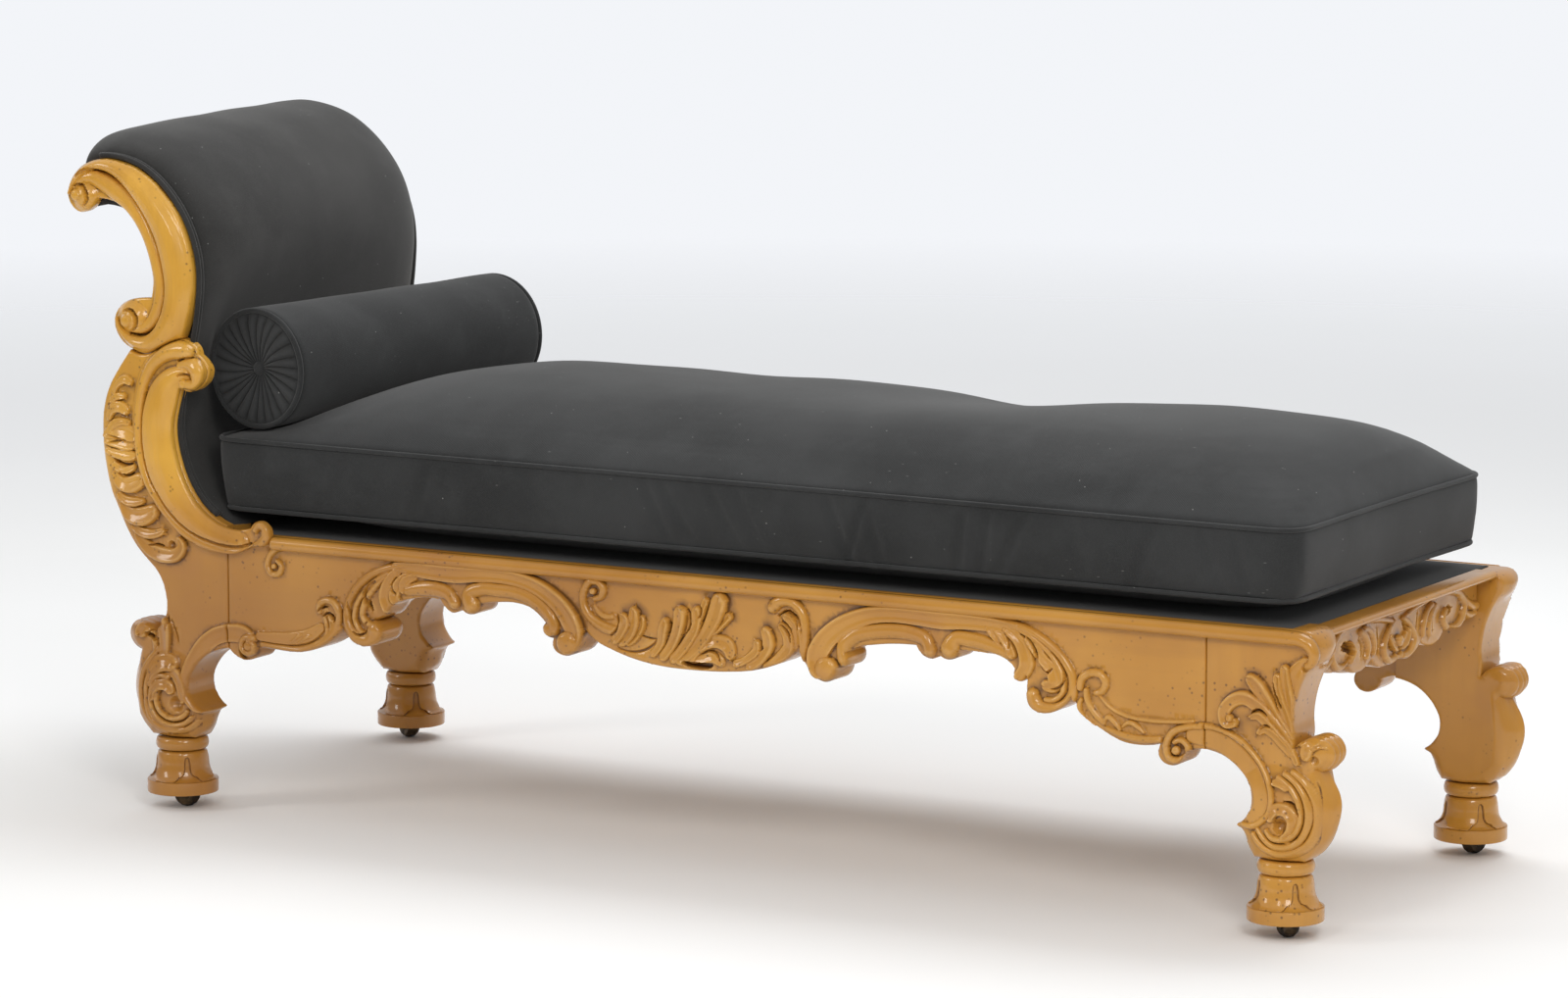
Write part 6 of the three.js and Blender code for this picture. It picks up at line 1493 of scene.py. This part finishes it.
def round_bolster(cloth):
    """The bolster: a drum whose gathered ends dip to a covered button; pleats are 26 rounded folds, |sin| ** 0.5,
    that die out towards the rim, with painted shade in their valleys and painted highlight on their ridges, and
    the side is uneven by sums of sines. Piping and buttons finish the ends."""
    radius, half = BOLSTER["radius"], BOLSTER["half"]
    end = smooth_line([[2, -half + 9], [12, -half + 7.5], [28, -half + 4.0], [48, -half + 1.2], [64, -half + 0.6],
                       [72, -half + 2.2], [77, -half + 5.5], [radius, -half + 10]], 1.6)
    side = np.c_[np.full(90, radius), np.linspace(-half + 10, half - 10, 92)[1:-1]]
    profile = np.vstack([end, side, end[::-1] * (1, -1)])
    columns = 288
    rings, angle = turned_grid(profile, columns)
    r = profile[:, :1]
    inside = ramp(76 - r, 10) * ramp(r, 12)
    depth = 5.0 * inside * (0.75 + 0.25 * np.sin(3 * angle + 1.3))[None]
    fold = np.abs(np.sin(13 * (angle + 0.0022 * r) + 0.45 * np.sin(5 * angle))) ** 0.5
    pleat = depth * (fold - 0.6) * np.clip(1.25 - r / 90, 0.2, 1)
    rings[..., 2] += np.sign(profile[:, 1:]) * pleat
    at = rings[..., 2] / half
    bulge = 1 + (0.004 * np.sin(2 * angle + 4 * at) + 0.003 * np.sin(5 * angle - 7 * at)
                 + 0.0035 * np.sin(3 * angle + 11 * at)) * (np.abs(profile[:, 1:]) < half - 4)
    rings[..., :2] *= bulge[..., None]
    # Painted shading: the pleats' valleys are painted darker and their ridges lighter.
    painted_shading = np.clip(inside * (2.2 * fold - 1.5), -1, 1).ravel()
    made = piece("bolster_drum", along_bolster(rings.reshape(-1, 3)[:, [0, 2, 1]]),
                 grid_faces(len(profile), columns), cloth, "bolster", ("bolster",), flip=True,
                 painted_shading=painted_shading, caps=end_caps(len(profile), columns))
    ring = np.linspace(0, 2 * pi, 120, endpoint=False)
    reach = radius - 3.2
    for name, facing in SIDES:
        path = np.c_[reach * np.cos(ring), np.full(len(ring), facing * (half - 2.6)), reach * np.sin(ring)]
        points, faces, _ = tube(path, 3.6, closed=True)
        piece("bolster_piping_" + name, along_bolster(points), faces, cloth, "bolster")
        dome = np.linspace(0, pi / 2, 9)
        cap = np.vstack([[9.0, -2.5], np.c_[9.0 * np.cos(dome), 5.0 * np.sin(dome)]])
        cap[-1, 0] = 0.3
        rings, _ = turned_grid(cap, 40)
        points = rings.reshape(-1, 3)
        points = np.c_[points[:, 0], facing * (points[:, 2] + half - 7.5), points[:, 1]]
        piece("bolster_knob_" + name, along_bolster(points), grid_faces(len(cap), 40), cloth,
              "bolster", (f"bolster_button_{name}",), flip=facing > 0, caps=end_caps(len(cap), 40))


# The cushion's ends, width, lower seam's height and wall; bumps as (x, y, reach, height) and creases in the
# wall as (x, lean, width, depth)
CUSHION = {"low": -738.0, "high": 808.0, "width": 566.0, "seam": 403.0, "wall": 86.0}
CUSHION_BUMPS = ((-320, 100, 190, 5), (258, 125, 135, -13), (620, 60, 230, 10), (-60, -140, 120, -3))
CUSHION_CREASES = (
    (-420, 0.4, 12, 1.4), (-250, -0.4, 14, 1.2), (-72, -0.5, 11, 2.6), (-40, -0.7, 10, 2.4), (25, -0.6, 11, 2.8),
    (62, -0.5, 10, 1.8), (188, -0.4, 10, 3.2), (214, 0.3, 9, 3.0), (238, -0.3, 10, 2.2), (360, 0.1, 9, 3.0),
    (393, 0.15, 9, 2.6), (432, 0.5, 11, 2.6), (520, -0.3, 14, 1.4), (610, 0.4, 12, 2.2), (700, -0.4, 11, 2.0),
    (738, -0.3, 10, 2.2))


def cushion_point(u, v, top, crown_height=80.0):
    """Point of the seat cushion for u along and v across, both -1..1: the corners of the square turn round as
    a, b -> a sqrt(1 - b^2 / 2), b sqrt(1 - a^2 / 2), and the sides are drawn in between them. The crown is a
    quarter sine at the head times (1 - u^14) ** 0.6 at the foot times (1 - |v|^2.6) ** 0.8 across."""
    low, high = CUSHION["low"], CUSHION["high"]
    half = (high - low) / 2
    corner = 5.2 * np.abs(u * v) ** 8
    slant = np.where(u < 0, 12, 6) * top * np.sign(u) * np.abs(u) ** 8
    turn, deep = 27.0, CUSHION["width"] / 2
    at_end = np.maximum(np.abs(u) * half - half + turn, 0) / turn
    at_side = np.maximum(np.abs(v) * deep - deep + turn, 0) / turn
    x = np.sign(u) * (np.minimum(np.abs(u) * half, half - turn) + turn * at_end * np.sqrt(1 - at_side ** 2 / 2))
    y = np.sign(v) * (np.minimum(np.abs(v) * deep, deep - turn) + turn * at_side * np.sqrt(1 - at_end ** 2 / 2))
    x += (low + high) / 2 - np.sign(u) * (corner + 7 * (1 - v ** 2) * u ** 8) + slant
    y -= np.sign(v) * (corner + 7 * (1 - u ** 2) * v ** 8)
    head = np.sin(pi / 2 * np.minimum((1 + u) / 0.42, 1))
    foot = (1 - np.maximum(u, 0) ** 14) ** 0.6
    side = (1 - np.abs(v) ** 2.6) ** 0.8
    crown = head * foot * side
    under = crown * side ** 1.2 * (1 - np.abs(u) ** 16)
    if top:
        return np.stack([x, y, CUSHION["seam"] + CUSHION["wall"] + 4 * (1 - u) / 2 + crown_height * crown], -1)
    return np.stack([x, y, np.maximum(DECK_TOP + 0.5, CUSHION["seam"] - 60 * under)], -1)


def border(count):
    """The cushion's edge, once round, as u and v; places crowd towards the corners."""
    t = np.sin(pi / 2 * np.linspace(-1, 1, count + 1))[:-1]
    one = np.ones(count)
    return np.r_[t, one, -t, -one], np.r_[-one, t, one, -t]


def seam_line(top):
    """The cushion's seam loop with evenly spread points."""
    u, v = border(260)
    loop = cushion_point(u, v, top)
    gap = np.r_[0, np.cumsum(np.linalg.norm(np.roll(loop, -1, 0) - loop, axis=1))]
    at = np.linspace(0, gap[-1], 760, endpoint=False)
    closed = np.vstack([loop, loop[:1]])
    even = np.stack([np.interp(at, gap, column) for column in closed.T], -1)
    return sum(np.roll(even, shift, 0) for shift in range(-3, 4)) / 7


def raw_cushion():
    """Closed starting shape of the cushion: top, bottom and a wall that swells a little between its seams."""
    u, v = np.meshgrid(np.sin(pi / 2 * np.linspace(-1, 1, 121)), np.sin(pi / 2 * np.linspace(-1, 1, 61)),
                       indexing="ij")
    blocks, faces, start = [], [], 0
    for top in (True, False):
        sheet = cushion_point(u, v, top).reshape(-1, 3)
        quads = grid_faces(121, 61, False) + start
        faces.append(quads if top else quads[:, ::-1])
        blocks.append(sheet)
        start += len(sheet)
    ring_u, ring_v = border(120)
    bottom, over = cushion_point(ring_u, ring_v, False), cushion_point(ring_u, ring_v, True)
    out = over - over.mean(0)
    out = np.c_[np.sign(out[:, 0]) * (np.abs(ring_u) > 0.999), np.sign(out[:, 1]) * (np.abs(ring_v) > 0.999),
                np.zeros(len(out))]
    share = np.linspace(0, 1, 13)[:, None, None]
    wall = bottom + (over - bottom) * share + 2.5 * np.sin(pi * share) * out
    blocks.append(wall.reshape(-1, 3))
    faces.append(grid_faces(13, len(ring_u)) + start)
    return np.vstack(blocks), faces


def seam_gap(points):
    """Distance from each point to the nearer seam loop."""
    return nearest(points, np.vstack([seam_line(True), seam_line(False)]))


def mesh_points(mesh):
    """A mesh's points as rows of three."""
    flat = np.empty(len(mesh.vertices) * 3)
    mesh.vertices.foreach_get("co", flat)
    return flat.reshape(-1, 3)


def swollen(made, pinned_gap=9.0, cap=0.024):
    """Let pressure fill the cushion: cloth with its seams held, each point moving at most cap."""
    mesh = made.data
    before = mesh_points(mesh)
    gap = seam_gap(before * 1000 - (SHIFT, 0, 0))
    group = made.vertex_groups.new(name="seams")
    group.add(np.flatnonzero(gap < pinned_gap).tolist(), 1.0, "REPLACE")
    cloth = made.modifiers.new("filling", "CLOTH")
    settings = cloth.settings
    settings.quality = 6
    settings.mass = 0.3
    settings.tension_stiffness = settings.compression_stiffness = 25
    settings.bending_stiffness = 2.0
    settings.use_pressure = True
    settings.uniform_pressure_force = 4.0
    settings.effector_weights.gravity = 0
    settings.vertex_group_mass = "seams"
    scene = bpy.context.scene
    for step in range(1, 21):
        scene.frame_set(step)
    shown = made.evaluated_get(bpy.context.evaluated_depsgraph_get())
    after = mesh_points(shown.data)
    made.modifiers.remove(cloth)
    made.vertex_groups.clear()
    scene.frame_set(1)
    move = after - before
    length = np.linalg.norm(move, axis=1)
    move *= np.minimum(1, cap / np.maximum(length, 1e-9))[:, None]
    mesh.vertices.foreach_set("co", (before + move).ravel())
    mesh.update()


def seat_cushion(cloth):
    """The loose box cushion: remeshed, filled, made uneven by waves, bumps h exp(-d^2) and creases
    h (1 - 1.4 a^2) exp(-a^2) across their leaning lines, pressed by the bolster, and piped."""
    points, faces = raw_cushion()
    made = piece("cushion", points, faces, cloth, "seat_cushion", ("seat_cushion",))
    remesh = made.modifiers.new("even", "REMESH")
    remesh.mode, remesh.use_smooth_shade = "VOXEL", True
    remesh.voxel_size = 0.0088
    shown = made.evaluated_get(bpy.context.evaluated_depsgraph_get())
    even = bpy.data.meshes.new_from_object(shown)
    made.modifiers.remove(remesh)
    made.data = even
    even.materials.clear()
    even.materials.append(cloth)
    swollen(made)
    smooth = made.modifiers.new("even", "SUBSURF")
    smooth.levels = smooth.render_levels = 1
    finer = bpy.data.meshes.new_from_object(made.evaluated_get(bpy.context.evaluated_depsgraph_get()))
    made.modifiers.remove(smooth)
    made.data = finer
    mesh = made.data
    points = mesh_points(mesh) * 1000 - (SHIFT, 0, 0)
    gap = seam_gap(points)
    free = ramp(gap - 5, 45)
    top = ramp(points[:, 2] - 500, 30)
    rough = waves(points, ((1.3, 0.6, 0, 0.8, 1.6), (2.6, -1.9, 0, 2.1, 1.1), (0.7, 3.1, 0, 4.0, 1.0),
                           (5.2, 2.4, 0, 1.0, 0.6)))
    for x, y, reach, depth in CUSHION_BUMPS:
        rough += depth * np.exp(-((points[:, 0] - x) ** 2 + (points[:, 1] - y) ** 2) / reach ** 2)
    points[:, 2] += rough * top * free
    wall = ramp(500 - points[:, 2], 20) * ramp(gap, 14) * (np.abs(points[:, 1]) > 240)
    crease = np.zeros(len(points))
    for x, lean, wide, deep in CUSHION_CREASES:
        along = (points[:, 0] - x - lean * (points[:, 2] - 446)) / wide
        crease += deep * (1 - 1.4 * along ** 2) * np.exp(-along ** 2)
    points[:, 1] -= np.sign(points[:, 1]) * crease * wall
    points[:, 1] = np.clip(points[:, 1], -286.2, 286.2)
    points[:, 2] = np.maximum(points[:, 2], DECK_TOP + 0.3)
    points = pressed_by_bolster(points)
    mesh.vertices.foreach_set("co", ((points + (SHIFT, 0, 0)) * 0.001).ravel())
    mesh.shade_smooth()
    mesh.update()
    for name, top in (("upper", True), ("lower", False)):
        path = pressed_by_bolster(seam_line(top), 4.5)
        points, faces, _ = tube(path, 3.0, closed=True, guide=(0, 0, 1))
        piece(f"cushion_piping_{name}", points, faces, cloth, "seat_cushion")


# The couch

studio()
side_grain = honey_wood("honey_wood_along", (2.2, 26, 26))
upright = honey_wood("honey_wood_upright", (26, 26, 2.2))
cross = honey_wood("honey_wood_across", (26, 2.2, 26))
charcoal = charcoal_cloth("charcoal_weave", (0.97, 1.0, 1.02))
charcoal_pad = charcoal_cloth("charcoal_weave_faded", (1.12, 1.09, 1.05))
bronze = dark_bronze()
plain = bare_wood()

for node_name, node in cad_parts.items():
    metal = node_name.startswith("castor")
    node.data.materials.clear()
    node.data.materials.append(bronze if metal else plain)
carved_frame(side_grain, upright)
mouldings(side_grain)
carved_end_rail(cross)
for end_name, which_end in ENDS:
    for side_name, which_side in SIDES:
        turned_foot(upright, which_end, which_side, f"{side_name}_{end_name}")
headrest_pad(charcoal_pad)
back_cover(charcoal)
# The deck's cloth is a darkened copy of the charcoal: painted shade for the shadow under the cushion.
deck_upholstery(charcoal_cloth("charcoal_weave_deck_painted_shade", (0.5, 0.52, 0.54)))
round_bolster(charcoal)
seat_cushion(charcoal)
